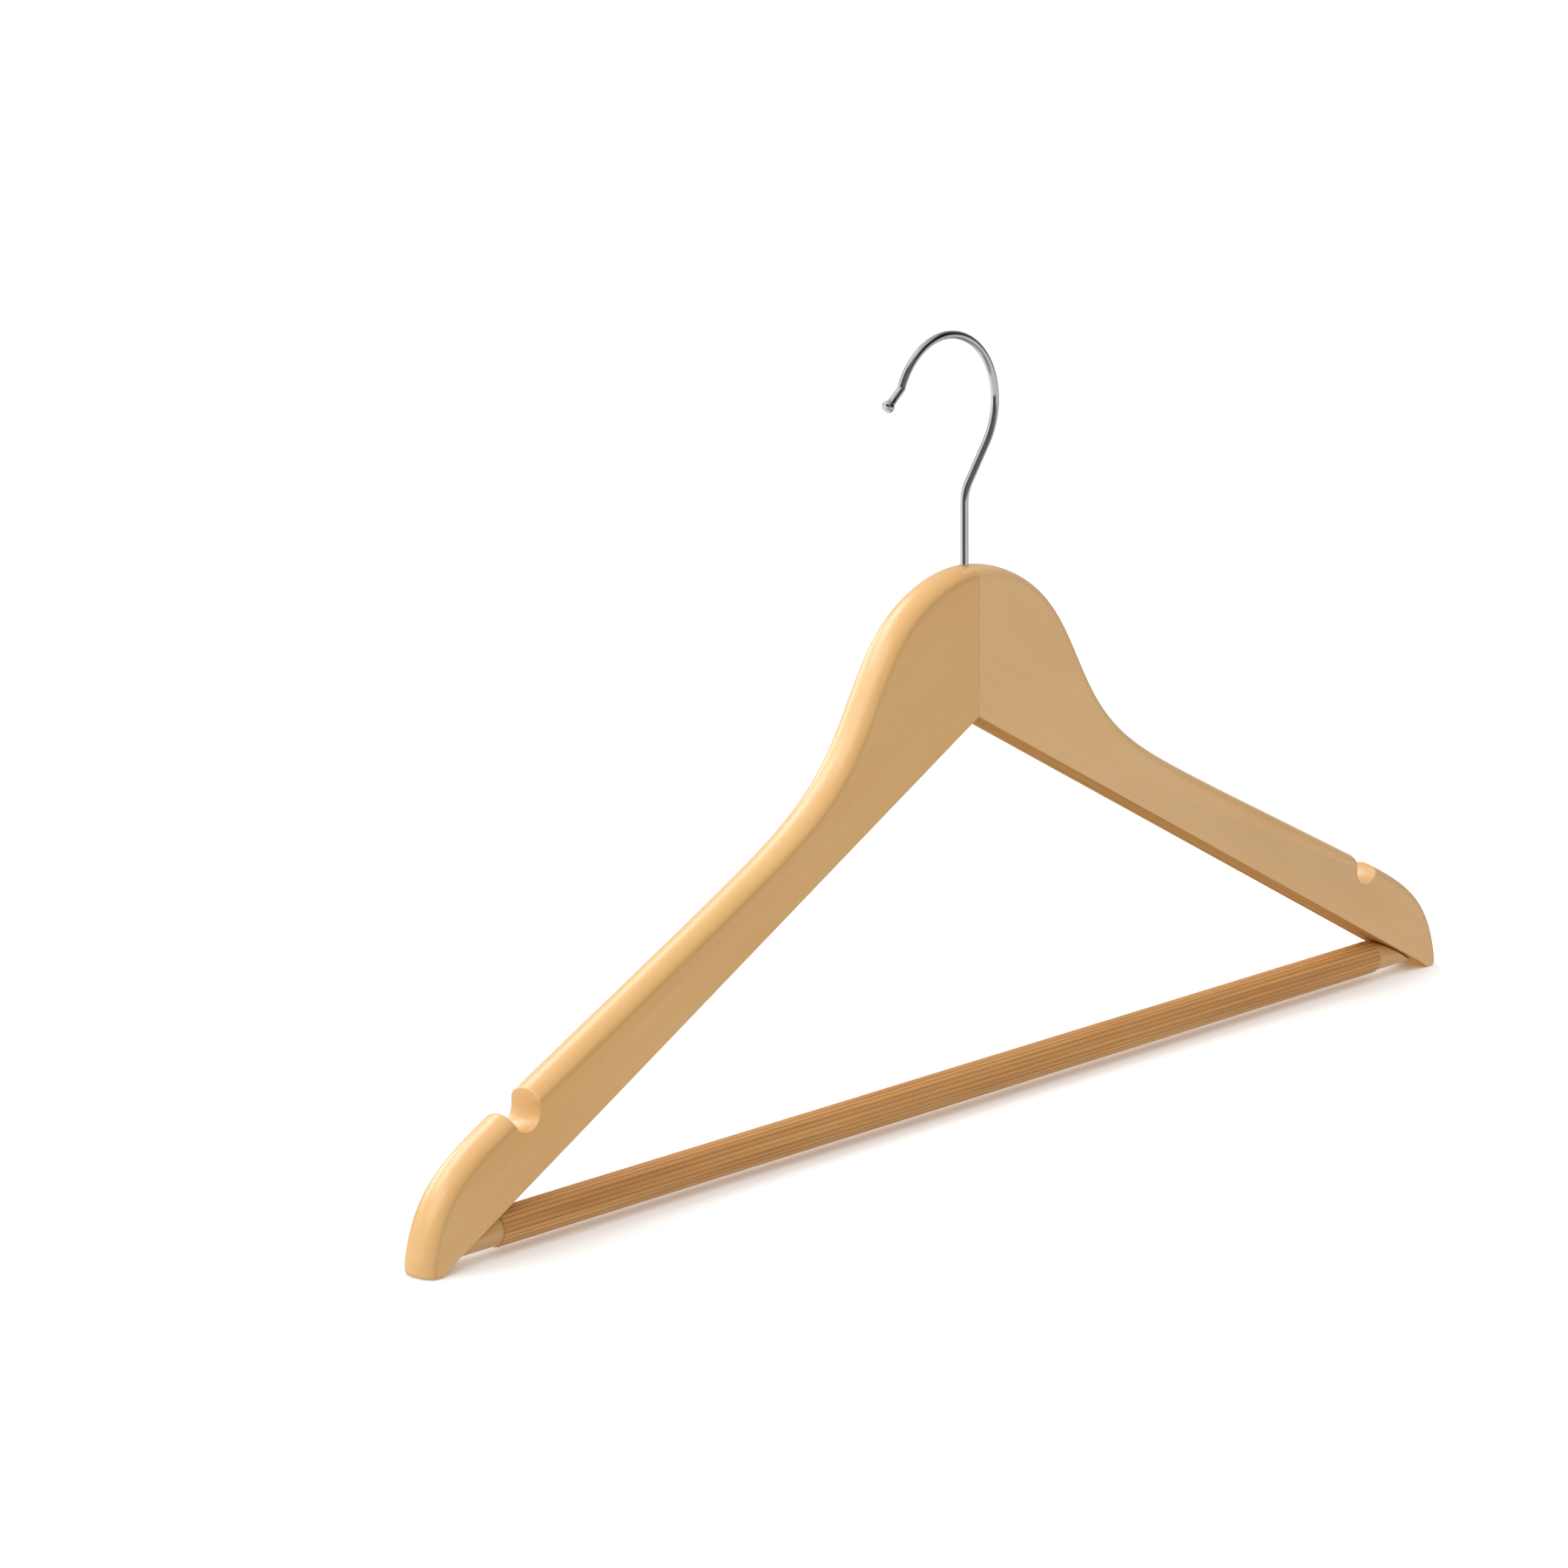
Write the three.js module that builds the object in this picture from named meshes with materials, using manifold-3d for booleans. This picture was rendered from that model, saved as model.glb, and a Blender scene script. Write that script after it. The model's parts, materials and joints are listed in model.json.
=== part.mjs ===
// Wooden suit hanger with a trouser bar.
// Two shaped wooden arms are finger-jointed and glued at the neck, a round
// dowel in a ribbed anti-slip sleeve ties their lower ends together, a wire
// brad through each dowel tenon locks it, and a chromed wire hook turns in a
// stepped bore in the neck.
//
// Millimetres, +Z up, +X along the hanger, +Y towards its back.
// Everything below is drawn about the swivel axis of the hook (x = 0, y = 0)
// with z = 0 near the arm tips. The finished group is then moved so that the
// origin is the rail seat: the inner top of the hook, where the rail touches.

import * as THREE from 'three';
import * as BufferGeometryUtils from 'three/addons/utils/BufferGeometryUtils.js';
import Module from 'manifold-3d';

const wasm = await Module();
wasm.setup();

// ---------------------------------------------------------------- dimensions
const THICK = 11.5;            // arm thickness, front face to back face
const CROWN = 3.4;             // height of the rounded outer edge
const EASE = 0.6;              // eased corner along the flat underside
const UNDER_APEX_Z = 117.5;    // underside corner at the neck
const UNDER_SLOPE = 0.5385;    // fall of the underside per mm outwards
const TIP_Z = 0.6;             // lowest flat of the arm tips

const WIRE_D = 2.4;            // hook wire
const LOOP_X = -7.5;           // centre of the hook's round
const LOOP_Z = 208.0;
const LOOP_R = 20.9;           // to the middle of the wire
const LOOP_START = -35.8;      // degrees, where the slant runs into the round
const LOOP_END = 155.5;         // degrees, where the tip turns outwards
const BEND_R = 10;             // bend between the shank and the slant
const TIP_LEN = 6.6;           // straight tip before the button
const TIP_ANGLE = 51;          // degrees from the vertical, outwards
const BUTTON_D = 3.7;          // button on the end of the wire

const SHANK_END_Z = 132;       // lower end of the shank, inside the neck
const RING_D = 3.4;            // retaining rings rolled on the shank
const RING_COUNT = 6;
const RING_PITCH = 2.6;
const NECK_BORE_D = 3.0;       // bore above the rings
const RING_BORE_D = 4.0;       // bore around the rings
const RING_BORE_TOP = 150;
const RING_BORE_END = 131.2;

const FINGER_IN = 2.9;         // glue fingers, |y| from ... to ...
const FINGER_OUT = 4.5;
const FINGER_LEN = 5;
const GLUE = 0.15;

const BAR_Z = 7.5;             // height of the bar's axis
const DOWEL_D = 9.4;
const SLEEVE_BORE = 9.6;
const SLEEVE_VALLEY = 10.0;    // between the ribs
const SLEEVE_CREST = 10.4;     // over the ribs
const RIBS = 24;
const SLEEVE_HALF = 192.8;     // half length of the sleeve
const SHOULDER_GAP = 0.5;      // between the dowel's slanted shoulder and the arm
const TENON_D = 6.0;
const TENON_END = 214.0;
const SOCKET_D = 6.6;
const SOCKET_END = 214.6;

const NOTCH_X = 184.3;         // strap notch
const NOTCH_Z = 38.7;
const NOTCH_R = 4.9;

const BRAD_X = 208.8;          // brads through the tenons, driven from the back
const BRAD_D = 1.2;
const BRAD_HEAD_D = 2.2;
const BRAD_HEAD_T = 0.7;
const BRAD_LEN = 9.3;

// Outer edge of one arm on its flat face, from the top of the neck to the
// nose: x outwards, z up.
const OUTER = [
  [0, 158.3], [5, 158.0], [10, 156.95], [15, 155.3], [20, 153.0], [25, 149.95],
  [30, 145.8], [35, 140.1], [40, 132.6], [45, 124.1], [50, 116.2], [55, 109.75],
  [60, 104.6], [65, 100.35], [70, 96.7], [75, 93.45], [80, 90.45], [90, 85.0],
  [100, 79.85], [112, 73.8], [125, 67.35], [150, 55.0], [168, 46.1], [178, 41.15],
  [185, 37.7], [190, 35.15], [195, 32.55], [200, 29.75], [204, 27.15],
  [207, 24.9], [210, 22.2], [212, 20.0], [214, 17.2], [215.6, 14.4],
  [216.9, 11.4], [217.9, 8.4], [218.6, 5.6], [219.0, 3.6],
];
// Corner of the nose down to the tip flat, with the share of the rounded
// edge that each point keeps.
const CORNER = [
  [219.05, 2.6, 0.97], [218.95, 1.8, 0.85], [218.6, 1.15, 0.62],
  [218.1, 0.8, 0.36], [217.5, 0.64, 0.14], [216.9, TIP_Z, 0.0],
];

// ------------------------------------------------------------------- helpers
const toManifold = (geometry) => {
  const g = geometry.clone();
  g.deleteAttribute('normal');
  g.deleteAttribute('uv');
  const merged = BufferGeometryUtils.mergeVertices(g, 1e-4);
  return new wasm.Manifold(new wasm.Mesh({
    numProp: 3,
    vertProperties: new Float32Array(merged.attributes.position.array),
    triVerts: new Uint32Array(merged.index.array),
  }));
};

const fromManifold = (solid) => {
  const mesh = solid.getMesh();
  const g = new THREE.BufferGeometry();
  const n = mesh.vertProperties.length / mesh.numProp;
  const p = new Float32Array(n * 3);
  for (let i = 0; i < n; i++) {
    for (let k = 0; k < 3; k++) p[3 * i + k] = mesh.vertProperties[i * mesh.numProp + k];
  }
  g.setAttribute('position', new THREE.BufferAttribute(p, 3));
  g.setIndex(new THREE.BufferAttribute(new Uint32Array(mesh.triVerts), 1));
  g.computeVertexNormals();
  return g;
};

const boxAt = (x0, x1, y0, y1, z0, z1) => {
  const g = new THREE.BoxGeometry(x1 - x0, y1 - y0, z1 - z0);
  g.translate((x0 + x1) / 2, (y0 + y1) / 2, (z0 + z1) / 2);
  return g;
};

const cylinderX = (d, x0, x1, z, sides) => {
  const g = new THREE.CylinderGeometry(d / 2, d / 2, x1 - x0, sides);
  g.rotateZ(-Math.PI / 2);
  g.translate((x0 + x1) / 2, 0, z);
  return g;
};

const cylinderY = (d, x, y0, y1, z, sides) => {
  const g = new THREE.CylinderGeometry(d / 2, d / 2, y1 - y0, sides);
  g.translate(x, (y0 + y1) / 2, z);
  return g;
};

const cylinderZ = (d, x, z0, z1, sides) => {
  const g = new THREE.CylinderGeometry(d / 2, d / 2, z1 - z0, sides);
  g.rotateX(Math.PI / 2);
  g.translate(x, 0, (z0 + z1) / 2);
  return g;
};

const mirrorX = (geometry) => {
  const g = geometry.clone();
  g.scale(-1, 1, 1);
  const index = g.index.array;
  for (let i = 0; i < index.length; i += 3) {
    const t = index[i + 1];
    index[i + 1] = index[i + 2];
    index[i + 2] = t;
  }
  return g;
};

// -------------------------------------------------- the two arms as one blank
const halfOutline = [];                        // {x, z, round}
for (const [x, z] of OUTER) halfOutline.push({ x, z, round: 1 });
for (const [x, z, round] of CORNER) halfOutline.push({ x, z, round });
const underZ = (x) => UNDER_APEX_Z - UNDER_SLOPE * Math.abs(x);
for (const x of [215.9, 214.9]) {
  const blend = (216.9 - x) / 2.4;
  halfOutline.push({ x, z: Math.max(TIP_Z, underZ(x)) * blend + TIP_Z * (1 - blend) + 0.12, round: 0 });
}
for (const x of [213.4]) {
  halfOutline.push({ x, z: underZ(x), round: 0 });
}

const outline = [];                            // clockwise, seen from the front
for (let i = halfOutline.length - 1; i >= 1; i--) {
  const p = halfOutline[i];
  outline.push({ x: -p.x, z: p.z, round: p.round });
}
for (const p of halfOutline) outline.push({ ...p });
outline.push({ x: 0, z: UNDER_APEX_Z, round: 0 });

const count = outline.length;
outline.forEach((p, i) => {
  const a = outline[(i + count - 1) % count];
  const b = outline[(i + 1) % count];
  const d1 = new THREE.Vector2(p.x - a.x, p.z - a.z).normalize();
  const d2 = new THREE.Vector2(b.x - p.x, b.z - p.z).normalize();
  const n1 = new THREE.Vector2(-d1.y, d1.x);
  const n2 = new THREE.Vector2(-d2.y, d2.x);
  const n = n1.clone().add(n2).normalize();
  const miter = 1 / Math.max(0.6, n.dot(n1));
  p.nx = n.x * miter;
  p.nz = n.y * miter;
});

const CROWN_R = ((THICK / 2) ** 2 + CROWN ** 2) / (2 * CROWN);
const crownAt = (y) => Math.sqrt(CROWN_R ** 2 - y ** 2) - (CROWN_R - CROWN);
const easeAt = (y) => {
  const t = Math.abs(y) - (THICK / 2 - EASE);
  return t <= 0 ? 0 : -(EASE - Math.sqrt(Math.max(0, EASE ** 2 - t ** 2)));
};
const half = THICK / 2;
const levels = [-half, -half + 0.18, -half + 0.6, -4.5, -3.4, -1.8, 0, 1.8, 3.4, 4.5, half - 0.6, half - 0.18, half];

const blankPositions = [];
for (const y of levels) {
  for (const p of outline) {
    const out = crownAt(y) * p.round + easeAt(y) * (1 - p.round);
    blankPositions.push(p.x + p.nx * out, y, p.z + p.nz * out);
  }
}
const blankIndex = [];
for (let l = 0; l < levels.length - 1; l++) {
  for (let i = 0; i < count; i++) {
    const j = (i + 1) % count;
    const a = l * count + i;
    const b = l * count + j;
    const c = (l + 1) * count + i;
    const d = (l + 1) * count + j;
    blankIndex.push(a, d, c, a, b, d);
  }
}
const face = (level) => outline.map((_, i) => new THREE.Vector2(
  blankPositions[3 * (level * count + i)], blankPositions[3 * (level * count + i) + 2]));
const frontFace = face(0);
for (const [a, b, c] of THREE.ShapeUtils.triangulateShape(frontFace, [])) {
  const area = (frontFace[b].x - frontFace[a].x) * (frontFace[c].y - frontFace[a].y)
    - (frontFace[c].x - frontFace[a].x) * (frontFace[b].y - frontFace[a].y);
  const tri = area > 0 ? [a, b, c] : [a, c, b];
  blankIndex.push(tri[0], tri[1], tri[2]);
  const o = (levels.length - 1) * count;
  blankIndex.push(o + tri[0], o + tri[2], o + tri[1]);
}
const blankGeometry = new THREE.BufferGeometry();
blankGeometry.setAttribute('position', new THREE.Float32BufferAttribute(blankPositions, 3));
blankGeometry.setIndex(blankIndex);
let blank = toManifold(blankGeometry);

// Cuts shared by both arms: strap notches, hook bore, tenon sockets and the
// stepped holes of the brads.
const cuts = [
  cylinderZ(NECK_BORE_D, 0, RING_BORE_TOP - 1, 175, 24),
  cylinderZ(RING_BORE_D, 0, RING_BORE_END, RING_BORE_TOP, 24),
];
for (const side of [-1, 1]) {
  cuts.push(cylinderY(2 * NOTCH_R, side * NOTCH_X, -20, 20, NOTCH_Z, 40));
  cuts.push(boxAt(side * NOTCH_X - NOTCH_R, side * NOTCH_X + NOTCH_R, -20, 20, NOTCH_Z, NOTCH_Z + 25));
  cuts.push(cylinderX(SOCKET_D, Math.min(side * 190, side * SOCKET_END), Math.max(side * 190, side * SOCKET_END), BAR_Z, 24));
  cuts.push(cylinderY(BRAD_D + 0.6, side * BRAD_X, half - BRAD_LEN - 0.4, 20, BAR_Z, 16));
  cuts.push(cylinderY(BRAD_HEAD_D + 0.6, side * BRAD_X, half - BRAD_HEAD_T - 0.35, 20, BAR_Z, 16));
}
for (const cut of cuts) blank = blank.subtract(toManifold(cut));

// Finger joint at the neck: each arm has one finger that enters the other.
const FAR = 400;
const armRegion = (side) => {
  const inward = -side;
  const span = (a, b) => [Math.min(a, b), Math.max(a, b)];
  const [x0, x1] = span(0, side * FAR);
  let region = toManifold(boxAt(x0, x1, -FAR, FAR, -FAR, FAR));
  // this arm's own finger lies behind the middle on the left arm and in front
  // of it on the right arm
  const [f0, f1] = span(inward * FINGER_OUT, inward * FINGER_IN);
  const [t0, t1] = span(-inward * 1, inward * FINGER_LEN);
  region = region.add(toManifold(boxAt(t0, t1, f0, f1, -FAR, FAR)));
  const [g0, g1] = span(side * (FINGER_OUT + GLUE), side * (FINGER_IN - GLUE));
  const [u0, u1] = span(-side * 1, side * (FINGER_LEN + GLUE));
  return region.subtract(toManifold(boxAt(u0, u1, g0, g1, -FAR, FAR)));
};

const leftArmGeometry = fromManifold(blank.intersect(armRegion(-1)));
const rightArmGeometry = fromManifold(blank.intersect(armRegion(1)));

// ---------------------------------------------------------------------- hook
const rad = THREE.MathUtils.degToRad;
const hookPoints = [];
const addPoint = (x, z) => hookPoints.push(new THREE.Vector3(x, 0, z));
const slant = new THREE.Vector2(-Math.sin(rad(LOOP_START)), Math.cos(rad(LOOP_START)));
const slantEnd = new THREE.Vector2(
  LOOP_X + LOOP_R * Math.cos(rad(LOOP_START)), LOOP_Z + LOOP_R * Math.sin(rad(LOOP_START)));
// where the slant, carried on downwards, meets the shank
const cornerZ = slantEnd.y - slantEnd.x * slant.y / slant.x;
const turn = Math.PI / 2 - Math.atan2(slant.y, slant.x);
const tangent = BEND_R * Math.tan(turn / 2);
for (let z = RING_BORE_TOP; z < cornerZ - tangent - 2; z += 5) addPoint(0, z);
for (let i = 0; i <= 6; i++) {
  const a = turn * i / 6;
  addPoint(BEND_R - BEND_R * Math.cos(a), cornerZ - tangent + BEND_R * Math.sin(a));
}
const bendEnd = hookPoints[hookPoints.length - 1];
for (let i = 1; i <= 3; i++) {
  addPoint(bendEnd.x + (slantEnd.x - bendEnd.x) * i / 3, bendEnd.z + (slantEnd.y - bendEnd.z) * i / 3);
}
const loopSteps = 30;
for (let i = 1; i <= loopSteps; i++) {
  const a = rad(LOOP_START + (LOOP_END - LOOP_START) * i / loopSteps);
  addPoint(LOOP_X + LOOP_R * Math.cos(a), LOOP_Z + LOOP_R * Math.sin(a));
}
const loopEnd = hookPoints[hookPoints.length - 1].clone();
const tipDir = new THREE.Vector3(-Math.sin(rad(TIP_ANGLE)), 0, -Math.cos(rad(TIP_ANGLE)));
const kink = loopEnd.clone().add(new THREE.Vector3(-Math.sin(rad(LOOP_END)), 0, Math.cos(rad(LOOP_END))).multiplyScalar(0.9));
addPoint(kink.x + tipDir.x * 0.7, kink.z + tipDir.z * 0.7);
const tipEnd = kink.clone().addScaledVector(tipDir, TIP_LEN);
addPoint((kink.x + tipEnd.x) / 2, (kink.z + tipEnd.z) / 2);
addPoint(tipEnd.x, tipEnd.z);

class Polyline3 extends THREE.CurvePath {}
const wirePath = new Polyline3();
for (let i = 0; i < hookPoints.length - 1; i++) {
  wirePath.add(new THREE.LineCurve3(hookPoints[i], hookPoints[i + 1]));
}
const wireSection = new THREE.Shape();
const WIRE_SIDES = 12;
for (let i = 0; i < WIRE_SIDES; i++) {
  const a = 2 * Math.PI * (i + 0.5) / WIRE_SIDES;
  const r = WIRE_D / 2 / Math.cos(Math.PI / WIRE_SIDES) ** 0.5;
  if (i === 0) wireSection.moveTo(r * Math.cos(a), r * Math.sin(a));
  else wireSection.lineTo(r * Math.cos(a), r * Math.sin(a));
}
wireSection.closePath();
const wireGeometry = new THREE.ExtrudeGeometry(wireSection, {
  steps: 96, bevelEnabled: false, extrudePath: wirePath, curveSegments: 1,
});
let hook = toManifold(wireGeometry);

// ringed lower end of the shank
const shankProfile = [new THREE.Vector2(0, SHANK_END_Z), new THREE.Vector2(0.8, SHANK_END_Z), new THREE.Vector2(WIRE_D / 2 + 0.02, SHANK_END_Z + 0.7)];
for (let i = 0; i < RING_COUNT; i++) {
  const z = SHANK_END_Z + 1.6 + i * RING_PITCH;
  shankProfile.push(new THREE.Vector2(WIRE_D / 2 + 0.02, z - 0.05));
  shankProfile.push(new THREE.Vector2(RING_D / 2, z + 0.9));
  shankProfile.push(new THREE.Vector2(RING_D / 2, z + 1.15));
  shankProfile.push(new THREE.Vector2(WIRE_D / 2 + 0.02, z + 1.4));
}
shankProfile.push(new THREE.Vector2(WIRE_D / 2 + 0.02, RING_BORE_TOP + 1.5));
shankProfile.push(new THREE.Vector2(0, RING_BORE_TOP + 1.5));
const shankGeometry = new THREE.LatheGeometry(shankProfile, 16);
shankGeometry.rotateX(Math.PI / 2);
hook = hook.add(toManifold(shankGeometry));

// button on the tip
const buttonProfile = [[0, -1.3], [1.0, -1.3], [1.5, -0.75], [1.85, -0.1], [1.85, 0.3], [1.6, 0.85], [1.1, 1.2], [0, 1.35]]
  .map(([r, t]) => new THREE.Vector2(r * BUTTON_D / 3.7, t));
const buttonGeometry = new THREE.LatheGeometry(buttonProfile, 16);
buttonGeometry.applyQuaternion(new THREE.Quaternion().setFromUnitVectors(new THREE.Vector3(0, 1, 0), tipDir));
buttonGeometry.translate(tipEnd.x + tipDir.x * 0.5, 0, tipEnd.z + tipDir.z * 0.5);
hook = hook.add(toManifold(buttonGeometry));
const hookGeometry = fromManifold(hook);

// ----------------------------------------------------------------- trouser bar
const theta = Math.atan(UNDER_SLOPE);
// a half space below the underside of one arm, less the shoulder gap
const belowUnderside = (side) => {
  const g = new THREE.BoxGeometry(FAR * 2, 60, FAR);
  g.translate(0, 0, -FAR / 2);
  g.rotateY(side * theta);
  g.translate(0, 0, UNDER_APEX_Z - SHOULDER_GAP / Math.cos(theta));
  return toManifold(g);
};
let dowel = toManifold(cylinderX(DOWEL_D, -225, 225, BAR_Z, 48))
  .intersect(belowUnderside(1))
  .intersect(belowUnderside(-1));
dowel = dowel.add(toManifold(cylinderX(TENON_D, -TENON_END, TENON_END, BAR_Z, 24)));
for (const side of [-1, 1]) {
  dowel = dowel.subtract(toManifold(cylinderY(BRAD_D + 0.6, side * BRAD_X, half - BRAD_LEN - 0.4, 20, BAR_Z, 16)));
}
const dowelGeometry = fromManifold(dowel);

// Ribbed anti-slip sleeve
const sleeveShape = new THREE.Shape();
const SLEEVE_SIDES = RIBS * 2;
for (let i = 0; i < SLEEVE_SIDES; i++) {
  const a = 2 * Math.PI * i / SLEEVE_SIDES;
  const r = (i % 2 ? SLEEVE_CREST : SLEEVE_VALLEY) / 2;
  if (i === 0) sleeveShape.moveTo(r * Math.cos(a), r * Math.sin(a));
  else sleeveShape.lineTo(r * Math.cos(a), r * Math.sin(a));
}
sleeveShape.closePath();
const sleeveBore = new THREE.Path();
for (let i = 0; i < SLEEVE_SIDES; i++) {
  const a = -2 * Math.PI * i / SLEEVE_SIDES;
  const r = SLEEVE_BORE / 2;
  if (i === 0) sleeveBore.moveTo(r * Math.cos(a), r * Math.sin(a));
  else sleeveBore.lineTo(r * Math.cos(a), r * Math.sin(a));
}
sleeveBore.closePath();
sleeveShape.holes.push(sleeveBore);
const sleeveGeometry = new THREE.ExtrudeGeometry(sleeveShape, {
  depth: 2 * SLEEVE_HALF, steps: 1, bevelEnabled: false, curveSegments: 1,
});
sleeveGeometry.translate(0, 0, -SLEEVE_HALF);
sleeveGeometry.rotateY(Math.PI / 2);

// ----------------------------------------------------------------------- brads
const bradProfile = [
  [0, 0], [BRAD_HEAD_D / 2, 0], [BRAD_HEAD_D / 2, -BRAD_HEAD_T * 0.55], [BRAD_D / 2, -BRAD_HEAD_T],
  [BRAD_D / 2, -BRAD_LEN + 1.6], [0.12, -BRAD_LEN], [0, -BRAD_LEN],
].reverse().map(([r, t]) => new THREE.Vector2(r, t));
const bradGeometry = new THREE.LatheGeometry(bradProfile, 12);

// ------------------------------------------------------------------ the object
const root = new THREE.Group();
const add = (name, geometry, color, roughness, metalness) => {
  const mesh = new THREE.Mesh(geometry, new THREE.MeshStandardMaterial({ color, roughness, metalness }));
  mesh.name = name;
  root.add(mesh);
  return mesh;
};

add('left_arm', leftArmGeometry, 0xd8b27a, 0.42, 0);
add('right_arm', rightArmGeometry, 0xd8b27a, 0.42, 0);
add('hook', hookGeometry, 0xd4d6d8, 0.12, 1);
add('trouser_bar_dowel', dowelGeometry, 0xcf9d60, 0.5, 0);
const sleeve = add('bar_sleeve', sleeveGeometry, 0xbf9068, 0.35, 0);
sleeve.position.set(0, 0, BAR_Z);
const leftBrad = add('left_bar_brad', bradGeometry, 0xa9abad, 0.35, 1);
leftBrad.position.set(-BRAD_X, half - 0.1, BAR_Z);
const rightBrad = add('right_bar_brad', bradGeometry.clone(), 0xa9abad, 0.35, 1);
rightBrad.position.set(BRAD_X, half - 0.1, BAR_Z);

// origin at the rail seat, the inner top of the hook
root.position.set(-LOOP_X, 0, -(LOOP_Z + LOOP_R - WIRE_D / 2));
root.updateMatrixWorld(true);

export default root;
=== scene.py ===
import json
import math

import bmesh
import bpy
import numpy as np
from mathutils import Matrix, Vector


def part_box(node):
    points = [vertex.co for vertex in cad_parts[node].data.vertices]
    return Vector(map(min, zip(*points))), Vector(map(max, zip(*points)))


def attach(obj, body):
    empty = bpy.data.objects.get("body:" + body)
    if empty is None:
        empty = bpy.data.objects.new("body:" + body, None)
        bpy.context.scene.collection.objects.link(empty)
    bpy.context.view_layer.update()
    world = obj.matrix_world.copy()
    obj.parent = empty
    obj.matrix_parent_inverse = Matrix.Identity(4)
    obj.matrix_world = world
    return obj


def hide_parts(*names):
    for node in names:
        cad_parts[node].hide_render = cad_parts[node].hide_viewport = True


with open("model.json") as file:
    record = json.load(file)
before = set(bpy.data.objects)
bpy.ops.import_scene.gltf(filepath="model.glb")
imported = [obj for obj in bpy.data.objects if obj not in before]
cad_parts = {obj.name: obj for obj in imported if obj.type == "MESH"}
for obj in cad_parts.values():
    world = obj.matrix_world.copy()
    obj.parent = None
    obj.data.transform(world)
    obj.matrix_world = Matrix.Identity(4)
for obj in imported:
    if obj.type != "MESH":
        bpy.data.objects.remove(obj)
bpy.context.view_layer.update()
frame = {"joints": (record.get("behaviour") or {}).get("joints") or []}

# ---------------------------------------------------------------------------
# Driving dimensions, in millimetres, drawn about the hook's swivel axis with
# z = 0 near the arm tips, as in the CAD part.
THICK = 11.5
HALF = THICK / 2
CROWN_RISE, CROWN_SHIFT = 3.0, 0.15
UNDER_APEX_Z = 117.5
UNDER_SLOPE = 0.5385
TIP_Z = 0.6
THETA = math.atan(UNDER_SLOPE)
WIRE_R = 1.2
LOOP_X, LOOP_Z, LOOP_R = -7.5, 208.0, 20.85
LOOP_START, LOOP_END = -35.8, 155.5
BEND_R = 10.0
TIP_LEN, TIP_ANGLE = 6.6, 51.0
SHANK_END_Z = 132.0
BAR_Z = 7.5
DOWEL_R = 4.7
SLEEVE_BORE_R, SLEEVE_VALLEY_R, SLEEVE_CREST_R = 4.8, 5.0, 5.2
RIBS = 24
SLEEVE_HALF = 192.8
TENON_R, TENON_END = 3.0, 214.0
NOTCH_X, NOTCH_Z, NOTCH_R = 184.3, 38.7, 4.9
BRAD_X = 208.8

OUTER = [
    (0, 158.3), (5, 158.0), (10, 156.95), (15, 155.3), (20, 153.0), (25, 149.95),
    (30, 145.8), (35, 140.1), (40, 132.6), (45, 124.1), (50, 116.2), (55, 109.75),
    (60, 104.6), (65, 100.35), (70, 96.7), (75, 93.45), (80, 90.45), (90, 85.0),
    (100, 79.85), (112, 73.8), (125, 67.35), (150, 55.0), (168, 46.1), (178, 41.15),
    (185, 37.7), (190, 35.15), (195, 32.55), (200, 29.75), (204, 27.15),
    (207, 24.9), (210, 22.2), (212, 20.0), (214, 17.2), (215.6, 14.4),
    (216.9, 11.4), (217.9, 8.4), (218.6, 5.6), (219.0, 3.6),
]
CORNER = [
    (219.05, 2.6, 1.0), (219.08, 1.9, 1.0), (219.0, 1.35, 0.995), (218.75, 0.95, 0.965),
    (218.3, 0.72, 0.86), (217.7, 0.63, 0.6), (217.1, 0.60, 0.25), (216.5, 0.62, 0.0),
    (215.6, 1.03, 0.0), (214.7, 1.65, 0.0), (213.4, 2.584, 0.0),
]

# The part's own frame: its origin is the rail seat. The offsets come from the
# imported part, so that every piece sits where the CAD says.
swivel = frame["joints"][0]["pos_m"]
sleeve_lo, sleeve_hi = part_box("bar_sleeve")
OX = swivel[0] * 1000
OZ = (sleeve_lo.z + sleeve_hi.z) / 2 * 1000 - BAR_Z


def place(points):
    """Drawing millimetres to metres in the part's frame."""
    p = np.asarray(points, float).reshape(-1, 3)
    return (p + np.array([OX, 0.0, OZ])) / 1000.0


# ------------------------------------------------------------------ mesh tools
scene = bpy.context.scene


def new_object(name, vertices, faces, link=True):
    mesh = bpy.data.meshes.new(name)
    mesh.from_pydata([tuple(v) for v in vertices], [], faces)
    mesh.validate()
    bm = bmesh.new()
    bm.from_mesh(mesh)
    bmesh.ops.recalc_face_normals(bm, faces=bm.faces)
    if bm.calc_volume(signed=True) < 0:
        bmesh.ops.reverse_faces(bm, faces=bm.faces)
    bm.to_mesh(mesh)
    bm.free()
    obj = bpy.data.objects.new(name, mesh)
    if link:
        scene.collection.objects.link(obj)
    return obj


def boolean(obj, cutter, operation):
    """Applies one exact boolean and removes the cutter."""
    m = obj.modifiers.new("b", "BOOLEAN")
    m.operation = operation
    m.solver = "EXACT"
    m.object = cutter
    dg = bpy.context.evaluated_depsgraph_get()
    result = bpy.data.meshes.new_from_object(obj.evaluated_get(dg))
    obj.modifiers.clear()
    old = obj.data
    obj.data = result
    bpy.data.meshes.remove(old)
    mesh = cutter.data
    bpy.data.objects.remove(cutter)
    bpy.data.meshes.remove(mesh)
    return obj


def shade(obj, angle):
    mesh = obj.data
    mesh.polygons.foreach_set("use_smooth", [True] * len(mesh.polygons))
    mesh.set_sharp_from_angle(angle=math.radians(angle))
    mesh.update()


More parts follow.
